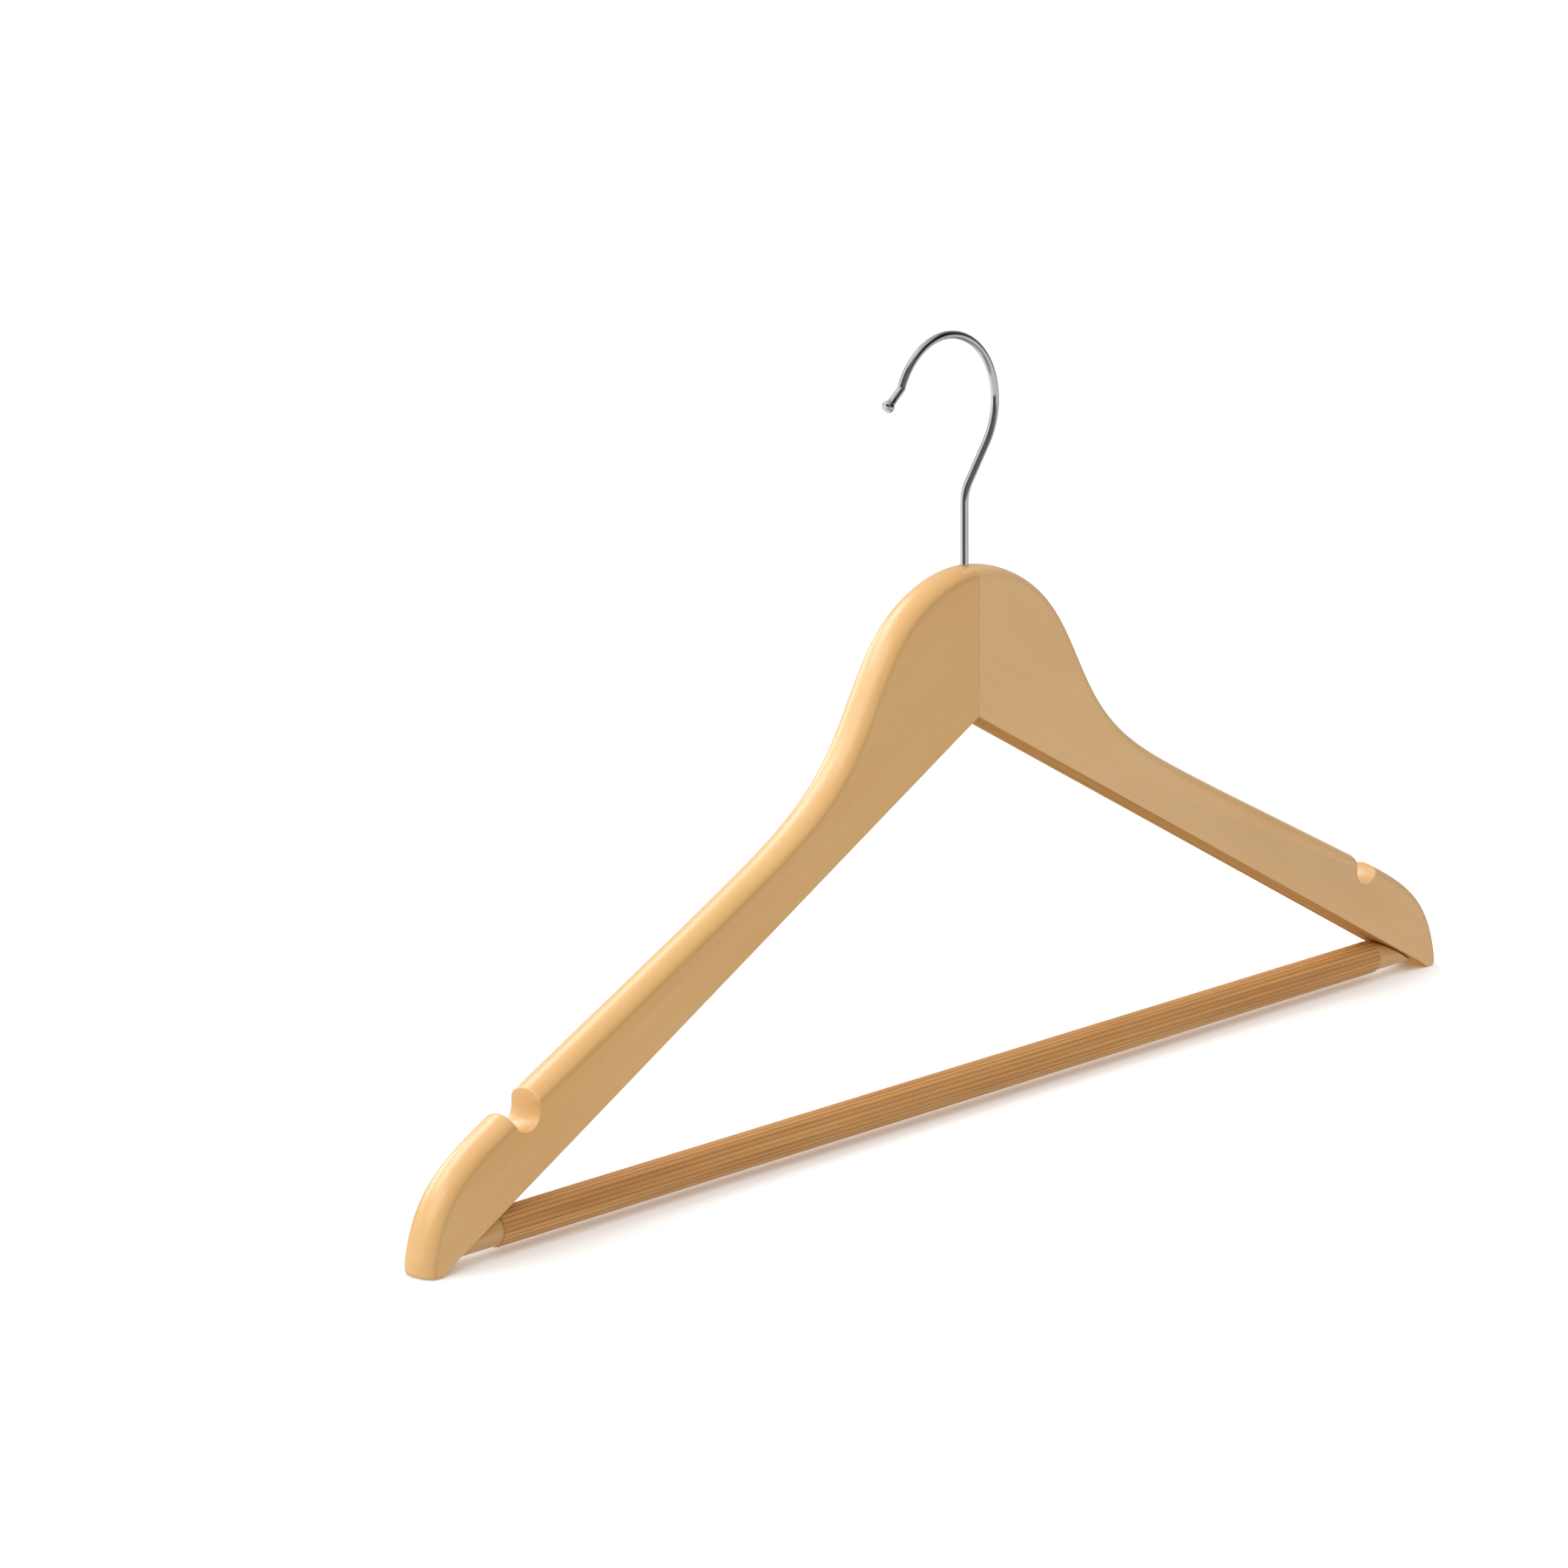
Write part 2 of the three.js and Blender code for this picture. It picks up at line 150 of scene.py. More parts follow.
def clean(obj, distance=0.002):
    bm = bmesh.new()
    bm.from_mesh(obj.data)
    bmesh.ops.remove_doubles(bm, verts=bm.verts, dist=distance / 1000)
    bmesh.ops.dissolve_degenerate(bm, edges=bm.edges, dist=distance / 1000)
    bm.to_mesh(obj.data)
    bm.free()


def prism(name, outline, axis, lo, hi):
    """A closed outline of (a, b) points drawn along x, y or z from lo to hi, in drawing millimetres."""
    n = len(outline)
    points = []
    for level in (lo, hi):
        for a, b in outline:
            if axis == "x":
                points.append((level, a, b))
            elif axis == "y":
                points.append((a, level, b))
            else:
                points.append((a, b, level))
    faces = [list(range(n)), list(range(n, 2 * n))]
    faces += [[i, (i + 1) % n, n + (i + 1) % n, n + i] for i in range(n)]
    return new_object(name, place(points), faces)


def circle(cx, cy, r, sides, start=0.0):
    return [(cx + r * math.cos(start + 2 * math.pi * i / sides), cy + r * math.sin(start + 2 * math.pi * i / sides)) for i in range(sides)]


def lathe(name, profile, sides, centre, direction):
    """A closed solid of revolution. profile is (radius, height), from axis to axis; direction is the height axis."""
    direction = Vector(direction).normalized()
    turn = Vector((0, 0, 1)).rotation_difference(direction)
    points, faces = [], []
    rings = []
    for r, h in profile:
        if r < 1e-9:
            rings.append([len(points)])
            points.append(turn @ Vector((0, 0, h)) + Vector(centre))
        else:
            ring = []
            for i in range(sides):
                a = 2 * math.pi * i / sides
                ring.append(len(points))
                points.append(turn @ Vector((r * math.cos(a), r * math.sin(a), h)) + Vector(centre))
            rings.append(ring)
    for a, b in zip(rings[:-1], rings[1:]):
        for i in range(sides):
            j = (i + 1) % sides
            if len(a) == 1:
                faces.append([a[0], b[i], b[j]])
            elif len(b) == 1:
                faces.append([a[i], a[j], b[0]])
            else:
                faces.append([a[i], a[j], b[j], b[i]])
    return new_object(name, place([tuple(p) for p in points]), faces)


# ----------------------------------------------------------------- arm outline
def clamped_spline(points, d0, d1):
    """A smooth curve through 2-D points with given end directions. Returns a function of chord length."""
    pts = np.array(points, float)
    h = np.linalg.norm(np.diff(pts, axis=0), axis=1)
    t = np.r_[0, np.cumsum(h)]
    n = len(pts)
    a = np.zeros((n, n))
    b = np.zeros((n, 2))
    a[0, 0] = a[-1, -1] = 1
    b[0], b[-1] = d0, d1
    for i in range(1, n - 1):
        a[i, i - 1], a[i, i], a[i, i + 1] = h[i], 2 * (h[i - 1] + h[i]), h[i - 1]
        b[i] = 3 * (h[i] * (pts[i] - pts[i - 1]) / h[i - 1] + h[i - 1] * (pts[i + 1] - pts[i]) / h[i])
    d = np.linalg.solve(a, b)

    def at(s):
        s = np.asarray(s, float)
        k = np.clip(np.searchsorted(t, s, side="right") - 1, 0, n - 2)
        u = ((s - t[k]) / h[k])[:, None]
        hk = h[k][:, None]
        return ((2 * u**3 - 3 * u**2 + 1) * pts[k] + (u**3 - 2 * u**2 + u) * hk * d[k]
                + (-2 * u**3 + 3 * u**2) * pts[k + 1] + (u**3 - u**2) * hk * d[k + 1])

    return at, t


half_points = [(x, z) for x, z in OUTER] + [(x, z) for x, z, _ in CORNER]
curve, knots = clamped_spline(half_points, (1, 0), (-math.cos(THETA), math.sin(THETA)))
dense_s = np.arange(0, knots[-1], 0.25)
dense_s = np.r_[dense_s, knots[-1]]
dense = curve(dense_s)
share_knots = np.r_[np.ones(len(OUTER)), [w for _, _, w in CORNER]]
dense_share = np.interp(dense_s, knots, share_knots)


def smooth_line(p, sigma, step=0.25):
    """Gaussian smoothing along the line, mirrored at the top of the neck, without shrinking."""
    k = int(4 * sigma / step)
    w = np.exp(-0.5 * (np.arange(-k, k + 1) * step / sigma) ** 2)
    w /= w.sum()

    def once(q):
        before = q[1:k + 1][::-1] * np.array([-1, 1])
        after = 2 * q[-1] - q[-k - 1:-1][::-1]
        full = np.vstack([before, q, after])
        return np.stack([np.convolve(full[:, c], w, mode="valid") for c in range(2)], axis=1)

    g = once(p)
    return g + (g - once(g))


smoothed = smooth_line(dense, 4.5)
keep = np.clip((dense[:, 0] - 192) / 12, 0, 1)
keep[np.argmax(dense[:, 0]):] = 1
keep = (keep * keep * (3 - 2 * keep))[:, None]
dense = dense * keep + smoothed * (1 - keep)

length = np.r_[0, np.cumsum(np.linalg.norm(np.diff(dense, axis=0), axis=1))]
at_len = lambda s: np.array([np.interp(s, length, dense[:, 0]), np.interp(s, length, dense[:, 1])]).T
share_at = lambda s: np.interp(s, length, dense_share)

stations = [0.0, 0.14]
s = 0.6
nose_start = float(np.interp(200, dense[:np.argmax(dense[:, 0]), 0], length[:np.argmax(dense[:, 0])]))
while s < length[-1]:
    x = float(np.interp(s, length, dense[:, 0]))
    stations.append(s)
    if s < nose_start:
        s += 1.25 if x < 72 else (2.6 if x < 172 else 1.4)
    elif s < length[-1] - 9:
        s += 0.9
    else:
        s += 0.33
stations = np.array(stations + [length[-1]])
right = np.c_[at_len(stations), share_at(stations)]
under_x = np.r_[np.linspace(209, 4, 52), [1.2, 0.14]]
right = np.vstack([right, np.c_[under_x, UNDER_APEX_Z - UNDER_SLOPE * under_x, np.zeros(len(under_x))]])
left = right[:0:-1] * np.array([-1, 1, 1])
loop = np.vstack([left, right, [[0, UNDER_APEX_Z, 0]]])
count = len(loop)

before, after = np.roll(loop, 1, axis=0)[:, :2], np.roll(loop, -1, axis=0)[:, :2]
d1 = loop[:, :2] - before
d2 = after - loop[:, :2]
d1 /= np.linalg.norm(d1, axis=1)[:, None]
d2 /= np.linalg.norm(d2, axis=1)[:, None]
n1 = np.c_[-d1[:, 1], d1[:, 0]]
n2 = np.c_[-d2[:, 1], d2[:, 0]]
normal = n1 + n2
normal /= np.linalg.norm(normal, axis=1)[:, None]
normal /= np.maximum(0.6, (normal * n1).sum(1))[:, None]

# The section across the edge: a flat face that rolls over into a half-oval
# crown, or a straight underside with eased corners. Each entry is (offset
# outwards, y), and the angle of its surface normal from -Y.
EASE_R = 0.6
crown_half, ease_half = [(-0.85, -HALF, 0.0)], [(-0.85, -HALF, 0.0)]
FILLET, ARC = 6, 11
for i in range(FILLET + ARC + 1):
    t = math.pi / 2 * i / (FILLET + ARC)
    crown_half.append((CROWN_SHIFT + CROWN_RISE * math.sin(t), -HALF * math.cos(t), math.atan2(math.sin(t) / CROWN_RISE, math.cos(t) / HALF)))
for i in range(FILLET + 1):
    a = math.pi / 2 * i / FILLET
    ease_half.append((-EASE_R + EASE_R * math.sin(a), -HALF + EASE_R - EASE_R * math.cos(a), a))
for i in range(1, ARC + 1):
    ease_half.append((0.0, (-HALF + EASE_R) * (1 - i / ARC), math.pi / 2))
mirror = lambda half: half + [(n, -y, math.pi - a) for n, y, a in half[-2::-1]]
crown_section, ease_section = np.array(mirror(crown_half)), np.array(mirror(ease_half))
columns = len(crown_section)

grid = np.zeros((count, columns, 3))
groove = np.zeros(count)
groove[np.abs(loop[:, 0]) < 1e-6] = -0.12
groove[-1] = -0.06
# the crown runs square off the end of the nose, so the tip is cut flat below
crown_way = normal.copy()
square = np.clip((4.2 - loop[:, 1]) / 1.2, 0, 1)[:, None]
crown_way = crown_way * (1 - square) + np.c_[np.sign(loop[:, 0]), np.zeros(count)] * square
for j in range(columns):
    w = loop[:, 2]
    up = w * crown_section[j, 0] + (groove if 0 < j < columns - 1 else 0)
    over = (1 - w) * ease_section[j, 0]
    grid[:, j, 0] = loop[:, 0] + crown_way[:, 0] * up + normal[:, 0] * over
    grid[:, j, 1] = w * crown_section[j, 1] + (1 - w) * ease_section[j, 1]
    grid[:, j, 2] = loop[:, 1] + crown_way[:, 1] * up + normal[:, 1] * over

vertices = place(grid.reshape(-1, 3))
faces = []
for i in range(count):
    k = (i + 1) % count
    for j in range(columns - 1):
        faces.append([i * columns + j, k * columns + j, k * columns + j + 1, i * columns + j + 1])
faces.append([i * columns for i in range(count)])
faces.append([i * columns + columns - 1 for i in range(count)])
blank = new_object("blank", vertices, faces)


# ------------------------------------------------------------- cuts in the arms
def notch_rim(side):
    """The rim of a strap notch as a closed line: point, wall normal and surface normal."""
    cx = side * NOTCH_X
    rows = [i for i in range(count) if 168 < side * loop[i, 0] < 204 and loop[i, 1] > 1.0 and loop[i, 2] > 0.5]
    rows.sort(key=lambda i: side * loop[i, 0])

    def inside(x, z):
        return abs(x - cx) - NOTCH_R if z >= NOTCH_Z else math.hypot(x - cx, z - NOTCH_Z) - NOTCH_R

    def turn(x, z):
        """How far round the U a point is: 0 and below up the inner wall, pi and above up the outer one."""
        if z >= NOTCH_Z:
            return (NOTCH_Z - z) / NOTCH_R if side * (x - cx) < 0 else math.pi + (z - NOTCH_Z) / NOTCH_R
        return math.atan2(NOTCH_Z - z, -side * (x - cx))

    def on_u(t, y):
        a = min(max(t, 0.0), math.pi)
        rise = NOTCH_R * (max(-t, 0.0) + max(t - math.pi, 0.0))
        p = Vector((cx - side * NOTCH_R * math.cos(a), y, NOTCH_Z - NOTCH_R * math.sin(a) + rise))
        return p, Vector((side * math.cos(a), 0, math.sin(a)))

    def crossing(j, outer):
        """Where the surface line of section column j meets the U's inner or outer side."""
        found = []
        for i, k in zip(rows[:-1], rows[1:]):
            a, b = grid[i, j], grid[k, j]
            for m in range(8):
                u, v = m / 8, (m + 1) / 8
                p, q = a + (b - a) * u, a + (b - a) * v
                f, g = inside(p[0], p[2]), inside(q[0], q[2])
                if (f > 0) != (g > 0):
                    w = f / (f - g)
                    n = normal[i] + (normal[k] - normal[i]) * (u + (v - u) * w)
                    found.append((p + (q - p) * w, n / np.linalg.norm(n)))
        return found[-1] if outer else found[0]

    rim = []
    cols = list(range(1, columns - 1))
    ends = {}
    for outer in (False, True):
        line = []
        for j in cols:
            p, n = crossing(j, outer)
            a = crown_section[j, 2]
            t = turn(p[0], p[2])
            if j in (1, columns - 2):
                ends[outer, j] = t
            line.append((on_u(t, p[1])[0], on_u(t, 0)[1], Vector((n[0] * math.sin(a), -math.cos(a), n[1] * math.sin(a)))))
        rim += line[::-1] if outer else line
        j = 1 if outer else columns - 2
        y = -HALF if outer else HALF
        if not outer:
            t0 = ends[False, j]
            t1 = turn(*crossing(j, True)[0][[0, 2]])
        else:
            t0 = ends[True, j]
            t1 = ends[False, j]
        steps = max(8, int(abs(t1 - t0) * NOTCH_R / 0.55))
        for k in range(1, steps):
            p, wall = on_u(t0 + (t1 - t0) * k / steps, y)
            rim.append((p, wall, Vector((0, 1 if y > 0 else -1, 0))))
    return rim


def rim_cutter(rim, size):
    """A thin closed sweep that rounds the edge it follows."""
    n = len(rim)
    points, faces = [], []
    for i in range(n):
        p, wall, surface = rim[i]
        tangent = (rim[(i + 1) % n][0] - rim[i - 1][0]).normalized()
        down = wall.cross(tangent).normalized()
        if down.dot(surface) > 0:
            down = -down
        along = surface.cross(tangent).normalized()
        if along.dot(wall) > 0:
            along = -along
        for q in (down * size * 1.02 + (down - along) * 0.02,
                  (down + along) * size * 0.3,
                  along * size * 1.02 + (along - down) * 0.02,
                  -(down + along) * size * 0.9):
            points.append(tuple(p + q))
    for i in range(n):
        k = (i + 1) % n
        for j in range(4):
            faces.append([4 * i + j, 4 * k + j, 4 * k + (j + 1) % 4, 4 * i + (j + 1) % 4])
    return new_object("rim", place(points), faces)


for side in (-1, 1):
    cx = side * NOTCH_X
    outline = [(cx - NOTCH_R, NOTCH_Z + 30), (cx + NOTCH_R, NOTCH_Z + 30)]
    outline += [(cx + NOTCH_R * math.cos(a), NOTCH_Z - NOTCH_R * math.sin(a)) for a in np.linspace(0, math.pi, 49)]
    boolean(blank, prism("notch", outline, "y", -20, 20), "DIFFERENCE")
    boolean(blank, rim_cutter(notch_rim(side), 0.34), "DIFFERENCE")
    lo, hi = sorted((side * 190.0, side * 214.6))
    boolean(blank, prism("socket", circle(0, BAR_Z, 3.15, 48), "x", lo, hi), "DIFFERENCE")
    boolean(blank, lathe("brad_hole", [(0, -9.6), (0.64, -9.6), (0.64, -0.86), (1.17, -0.52), (1.17, 0.0), (1.34, 0.06), (1.6, 3.0), (0, 3.0)], 40,
                         (side * BRAD_X, HALF - 0.04, BAR_Z), (0, 1, 0)), "DIFFERENCE")
boolean(blank, lathe("bore", [(0, 131.2), (2.0, 131.2), (2.0, 150.0), (1.34, 150.4), (1.34, 161.0), (1.75, 161.42), (1.75, 175), (0, 175)], 48, (0, 0, 0), (0, 0, 1)), "DIFFERENCE")


def arm(name, side):
    """One arm: its half of the blank with its glue finger and the slot for the other's."""
    gap = 0.02
    far = 400
    ease = 0.13                                   # the two meeting edges are eased by a hair, which draws the seam
    outline = [(far, -far), (far, -HALF - 1), (1 + ease, -HALF - 1), (0.003, -HALF + ease),
               (0.003, -4.5 + gap), (-5 + gap, -4.5 + gap), (-5 + gap, -2.9 - gap), (0.003, -2.9 - gap),
               (0.003, 2.9), (5, 2.9), (5, 4.5), (0.003, 4.5), (0.003, HALF - ease), (1 + ease, HALF + 1), (far, HALF + 1)]
    if side < 0:
        outline = [(-x, -y) for x, y in outline]
    obj = bpy.data.objects.new(name, blank.data.copy())
    obj.data.name = name
    scene.collection.objects.link(obj)
    boolean(obj, prism("region", outline, "z", -far, far), "INTERSECT")
    clean(obj)
    shade(obj, 31)
    return obj


left_arm = arm("left_arm_wood", -1)
right_arm = arm("right_arm_wood", 1)
mesh = blank.data
bpy.data.objects.remove(blank)
bpy.data.meshes.remove(mesh)


def surface_masks(obj):
    """Stores how close a vertex lies to the line where the face turns over into the crown, as the mask for painted
    shade along that crease.
    """
    mesh = obj.data
    co = np.zeros(len(mesh.vertices) * 3, np.float32)
    mesh.vertices.foreach_get("co", co)
    co = co.reshape(-1, 3).astype(float) * 1000 - np.array([OX, 0, OZ])
    rows = [i for i in range(count) if loop[i, 1] > 1.0 and loop[i, 2] > 0.5 or loop[i, 2] > 0.9]
    line = loop[rows][:, :2]
    nearest = np.full(len(co), 1e9)
    for start in range(0, len(co), 4000):
        part = co[start:start + 4000][:, [0, 2]]
        dist = np.linalg.norm(part[:, None, :] - line[None, :, :], axis=2).min(axis=1)
        nearest[start:start + 4000] = dist
    on_face = np.abs(co[:, 1]) > HALF - 0.004
    crease_shade_mask = np.where(on_face, np.clip(1 - nearest / 0.6, 0, 1), np.exp(-(((nearest - 0.5) / 0.42) ** 2)))
    crease_shade_mask[np.abs(co[:, 1]) < HALF - 1.6] = 0
    attribute = mesh.attributes.new("crease_shade_mask", "FLOAT", "POINT")
    attribute.data.foreach_set("value", crease_shade_mask.astype(np.float32))


for o in (left_arm, right_arm):
    surface_masks(o)


# ------------------------------------------------------------------------ hook
def hook_line():
    """The middle line of the wire with its radius, from the shank's lower end to the button."""
    line = []                                     # (x, z, radius)
    add = lambda x, z, r=WIRE_R: line.append((x, z, r))
    # ringed end inside the neck
    add(0, SHANK_END_Z, 0.0)
    add(0, SHANK_END_Z, 0.75)
    add(0, SHANK_END_Z + 0.25, 1.02)
    add(0, SHANK_END_Z + 0.8, WIRE_R)
    for i in range(6):
        z = SHANK_END_Z + 1.6 + i * 2.6
        for dz, r in ((-0.05, 1.2), (0.08, 1.22), (0.45, 1.45), (0.8, 1.66), (0.95, 1.7), (1.1, 1.7), (1.22, 1.64), (1.36, 1.34), (1.44, 1.21), (1.5, 1.2)):
            add(0, z + dz, r)
    slant = (-math.sin(math.radians(LOOP_START)), math.cos(math.radians(LOOP_START)))
    end = (LOOP_X + LOOP_R * math.cos(math.radians(LOOP_START)), LOOP_Z + LOOP_R * math.sin(math.radians(LOOP_START)))
    corner = end[1] - end[0] * slant[1] / slant[0]
    turn = math.pi / 2 - math.atan2(slant[1], slant[0])
    tangent = BEND_R * math.tan(turn / 2)
    z = SHANK_END_Z + 18.5
    while z < corner - tangent - 1.0:
        add(0, z)
        z += 2.0
    for i in range(13):
        a = turn * i / 12
        add(BEND_R - BEND_R * math.cos(a), corner - tangent + BEND_R * math.sin(a))
    x0, z0 = line[-1][0], line[-1][1]
    for i in range(1, 8):
        add(x0 + (end[0] - x0) * i / 7, z0 + (end[1] - z0) * i / 7)
    steps = 84
    for i in range(1, steps + 1):
        a = math.radians(LOOP_START + (LOOP_END - LOOP_START) * i / steps)
        add(LOOP_X + LOOP_R * math.cos(a), LOOP_Z + LOOP_R * math.sin(a))
    ex, ez = line[-1][0], line[-1][1]
    a = math.radians(LOOP_END)
    tx, tz = -math.sin(a), math.cos(a)
    kx, kz = ex + tx * 0.9, ez + tz * 0.9
    dx, dz = -math.sin(math.radians(TIP_ANGLE)), -math.cos(math.radians(TIP_ANGLE))
    add(ex + tx * 0.55, ez + tz * 0.55)
    kink_at = len(line)
    mx, mz = (tx + dx) / 2, (tz + dz) / 2
    add(kx - mx * 0.10, kz - mz * 0.10, 1.17)
    add(kx + mx * 0.10, kz + mz * 0.10, 1.17)
    add(kx + dx * 0.45, kz + dz * 0.45, 1.18)
    bx, bz = kx + dx * (TIP_LEN + 0.5), kz + dz * (TIP_LEN + 0.5)   # button centre
    for t in (1.0, 1.8, 2.6, 3.4, 4.0):
        add(kx + dx * t, kz + dz * t)
    # upset button: a short neck, then a rounded head with a slightly flattened end
    for t, r in ((-1.42, 1.22), (-1.3, 1.27), (-1.16, 1.37), (-1.0, 1.5), (-0.8, 1.64), (-0.55, 1.755), (-0.25, 1.83), (0.05, 1.85),
                 (0.35, 1.825), (0.62, 1.735), (0.85, 1.58), (1.03, 1.36), (1.17, 1.08), (1.27, 0.74), (1.33, 0.38), (1.35, 0.0)):
        add(bx + dx * t, bz + dz * t, r)
    return line, kink_at


SIDES = 32
wire, kink_at = hook_line()
points, faces, rings = [], [], []
direction = []
for i in range(len(wire)):
    a = wire[max(i - 1, 0)]
    b = wire[min(i + 1, len(wire) - 1)]
    v = np.array([b[0] - a[0], b[1] - a[1]])
    direction.append(v / max(np.linalg.norm(v), 1e-9))
direction[0] = direction[1] = np.array([0.0, 1.0])
for i, (x, z, r) in enumerate(wire):
    d = direction[i]
    if r < 1e-9:
        rings.append([len(points)])
        points.append((x, 0, z))
        continue
    ring = []
    for k in range(SIDES):
        a = 2 * math.pi * (k + 0.5) / SIDES
        u, v = r * math.cos(a), r * math.sin(a)
        if kink_at <= i <= kink_at + 1:
            u *= 0.93
            v *= 1.05
        ring.append(len(points))
        points.append((x + d[1] * u, v, z - d[0] * u))
    rings.append(ring)
for a, b in zip(rings[:-1], rings[1:]):
    for i in range(SIDES):
        j = (i + 1) % SIDES
        if len(a) == 1:
            faces.append([a[0], b[i], b[j]])
        elif len(b) == 1:
            faces.append([a[i], a[j], b[0]])
        else:
            faces.append([a[i], a[j], b[j], b[i]])
hook = new_object("hook_wire", place(points), faces)
shade(hook, 50)


# ----------------------------------------------------------------- trouser bar
def bar_dowel():
    """The dowel with slanted shoulders that follow the arms' undersides and a reduced tenon at each end."""
    sides = 96
    gap = 0.45 / math.cos(THETA)
    cut = lambda z: (UNDER_APEX_Z - gap - z) / UNDER_SLOPE
    points, faces, rings = [], [], []

    def ring(r, x_of, shift=0.0):
        ids = []
        for i in range(sides):
            a = 2 * math.pi * i / sides
            y, z = r * math.cos(a), BAR_Z + r * math.sin(a)
            ids.append(len(points))
            points.append((x_of(z) + shift, y, z))
        rings.append(ids)

    at = lambda x: (lambda z: x)
    edge = 0.28
    # from the left end to the right end
    points.append((-TENON_END, 0, BAR_Z))
    rings.append([0])
    ring(TENON_R - 0.35, at(-TENON_END))
    ring(TENON_R - 0.1, at(-TENON_END + 0.1))
    ring(TENON_R, at(-TENON_END + 0.4))
    ring(TENON_R, lambda z: -cut(z))
    ring(DOWEL_R - edge, lambda z: -cut(z))
    ring(DOWEL_R - edge * 0.3, lambda z: -cut(z), edge * 0.3)
    ring(DOWEL_R, lambda z: -cut(z), edge)
    for t in np.linspace(-1, 1, 60):
        ring(DOWEL_R, at(t * 194.0))
    ring(DOWEL_R, lambda z: cut(z), -edge)
    ring(DOWEL_R - edge * 0.3, lambda z: cut(z), -edge * 0.3)
    ring(DOWEL_R - edge, lambda z: cut(z))
    ring(TENON_R, lambda z: cut(z))
    ring(TENON_R, at(TENON_END - 0.4))
    ring(TENON_R - 0.1, at(TENON_END - 0.1))
    ring(TENON_R - 0.35, at(TENON_END))
    rings.append([len(points)])
    points.append((TENON_END, 0, BAR_Z))
    for a, b in zip(rings[:-1], rings[1:]):
        for i in range(sides):
            j = (i + 1) % sides
            if len(a) == 1:
                faces.append([a[0], b[i], b[j]])
            elif len(b) == 1:
                faces.append([a[i], a[j], b[0]])
            else:
                faces.append([a[i], a[j], b[j], b[i]])
    obj = new_object("bar_dowel_wood", place(points), faces)
    for side in (-1, 1):
        boolean(obj, prism("brad_way", circle(side * BRAD_X, BAR_Z, 0.64, 32), "y", HALF - 9.7, 20), "DIFFERENCE")
    shade(obj, 40)
    return obj


dowel = bar_dowel()


def bar_sleeve():
    """The ribbed anti-slip tube: rounded ribs with narrow grooves, softened ends, and the slight waviness of a soft extrusion."""
    around = RIBS * 12
    rng = np.random.default_rng(7)
    phases = rng.uniform(0, 2 * math.pi, (RIBS, 3))
    depth = rng.uniform(0.72, 1.0, RIBS)
    xs = np.concatenate([[-SLEEVE_HALF, -SLEEVE_HALF + 0.05, -SLEEVE_HALF + 0.16], np.linspace(-SLEEVE_HALF + 0.4, SLEEVE_HALF - 0.4, 150),
                         [SLEEVE_HALF - 0.16, SLEEVE_HALF - 0.05, SLEEVE_HALF]])
    angle = 2 * math.pi * np.arange(around) / around
    rib = (np.arange(around) // 12)
    phase = (np.arange(around) % 12) / 12.0
    shape = (0.5 + 0.5 * np.cos(2 * math.pi * phase)) ** 2.2       # 1 in the groove, 0 over the rib
    points, faces = [], []
    outer, inner = [], []
    for x in xs:
        end = SLEEVE_HALF - abs(x)
        trim = 0.10 * max(0.0, 1 - end / 0.2) ** 2
        u = x / SLEEVE_HALF
        wave = (np.sin(3.1 * math.pi * u + phases[rib, 0]) + 0.6 * np.sin(7.3 * math.pi * u + phases[rib, 1])) * 0.008
        r = SLEEVE_CREST_R - 0.02 - (SLEEVE_CREST_R - SLEEVE_VALLEY_R) * shape * depth[rib] + wave * (1 - shape) - trim
        twist = 0.010 * math.sin(1.7 * math.pi * u + 0.6) + 0.004 * math.sin(5.1 * math.pi * u)
        ids = []
        for k in range(around):
            a = angle[k] + twist
            ids.append(len(points))
            points.append((x, r[k] * math.cos(a), BAR_Z + r[k] * math.sin(a)))
        outer.append(ids)
    for x in (-SLEEVE_HALF, SLEEVE_HALF):
        ids = []
        for k in range(around):
            a = angle[k] + 0.010 * math.sin(1.7 * math.pi * x / SLEEVE_HALF + 0.6) + 0.004 * math.sin(5.1 * math.pi * x / SLEEVE_HALF)
            ids.append(len(points))
            points.append((x, (SLEEVE_BORE_R - 0.03) * math.cos(a), BAR_Z + (SLEEVE_BORE_R - 0.03) * math.sin(a)))
        inner.append(ids)
    rings = [inner[0]] + outer + [inner[1]]
    for a, b in zip(rings, rings[1:] + [rings[0]]):
        for i in range(around):
            j = (i + 1) % around
            faces.append([a[i], a[j], b[j], b[i]])
    obj = new_object("bar_sleeve_ribbed", place(points), faces)
    # the groove mask, stored for the painted shade in the grooves between the ribs
    groove_shade = np.r_[np.tile(shape * depth[rib], len(xs)), np.zeros(2 * around)]
    attribute = obj.data.attributes.new("groove", "FLOAT", "POINT")
    attribute.data.foreach_set("value", groove_shade.astype(np.float32))
    shade(obj, 60)
    return obj


sleeve = bar_sleeve()


def brad(name, side):
    """A wire brad driven from the back: a low domed head, a smooth shank and a cut point."""
    profile = [(0, 0), (0.55, -0.02), (0.95, -0.08), (1.08, -0.2), (1.1, -0.34), (0.98, -0.48), (0.6, -0.78), (0.6, -3), (0.6, -5.5), (0.6, -7.7), (0.42, -8.4), (0.18, -9.05), (0, -9.2)]
    obj = lathe(name, profile, 32, (side * BRAD_X, HALF - 0.1, BAR_Z), (0, 1, 0))
    shade(obj, 40)
    return obj


left_brad = brad("left_brad_steel", -1)
right_brad = brad("right_brad_steel", 1)


# ------------------------------------------------------------------- materials
def srgb(r, g, b):
    lin = lambda c: c / 12.92 if c <= 0.04045 else ((c + 0.055) / 1.055) ** 2.4
    return (lin(r / 255), lin(g / 255), lin(b / 255), 1.0)


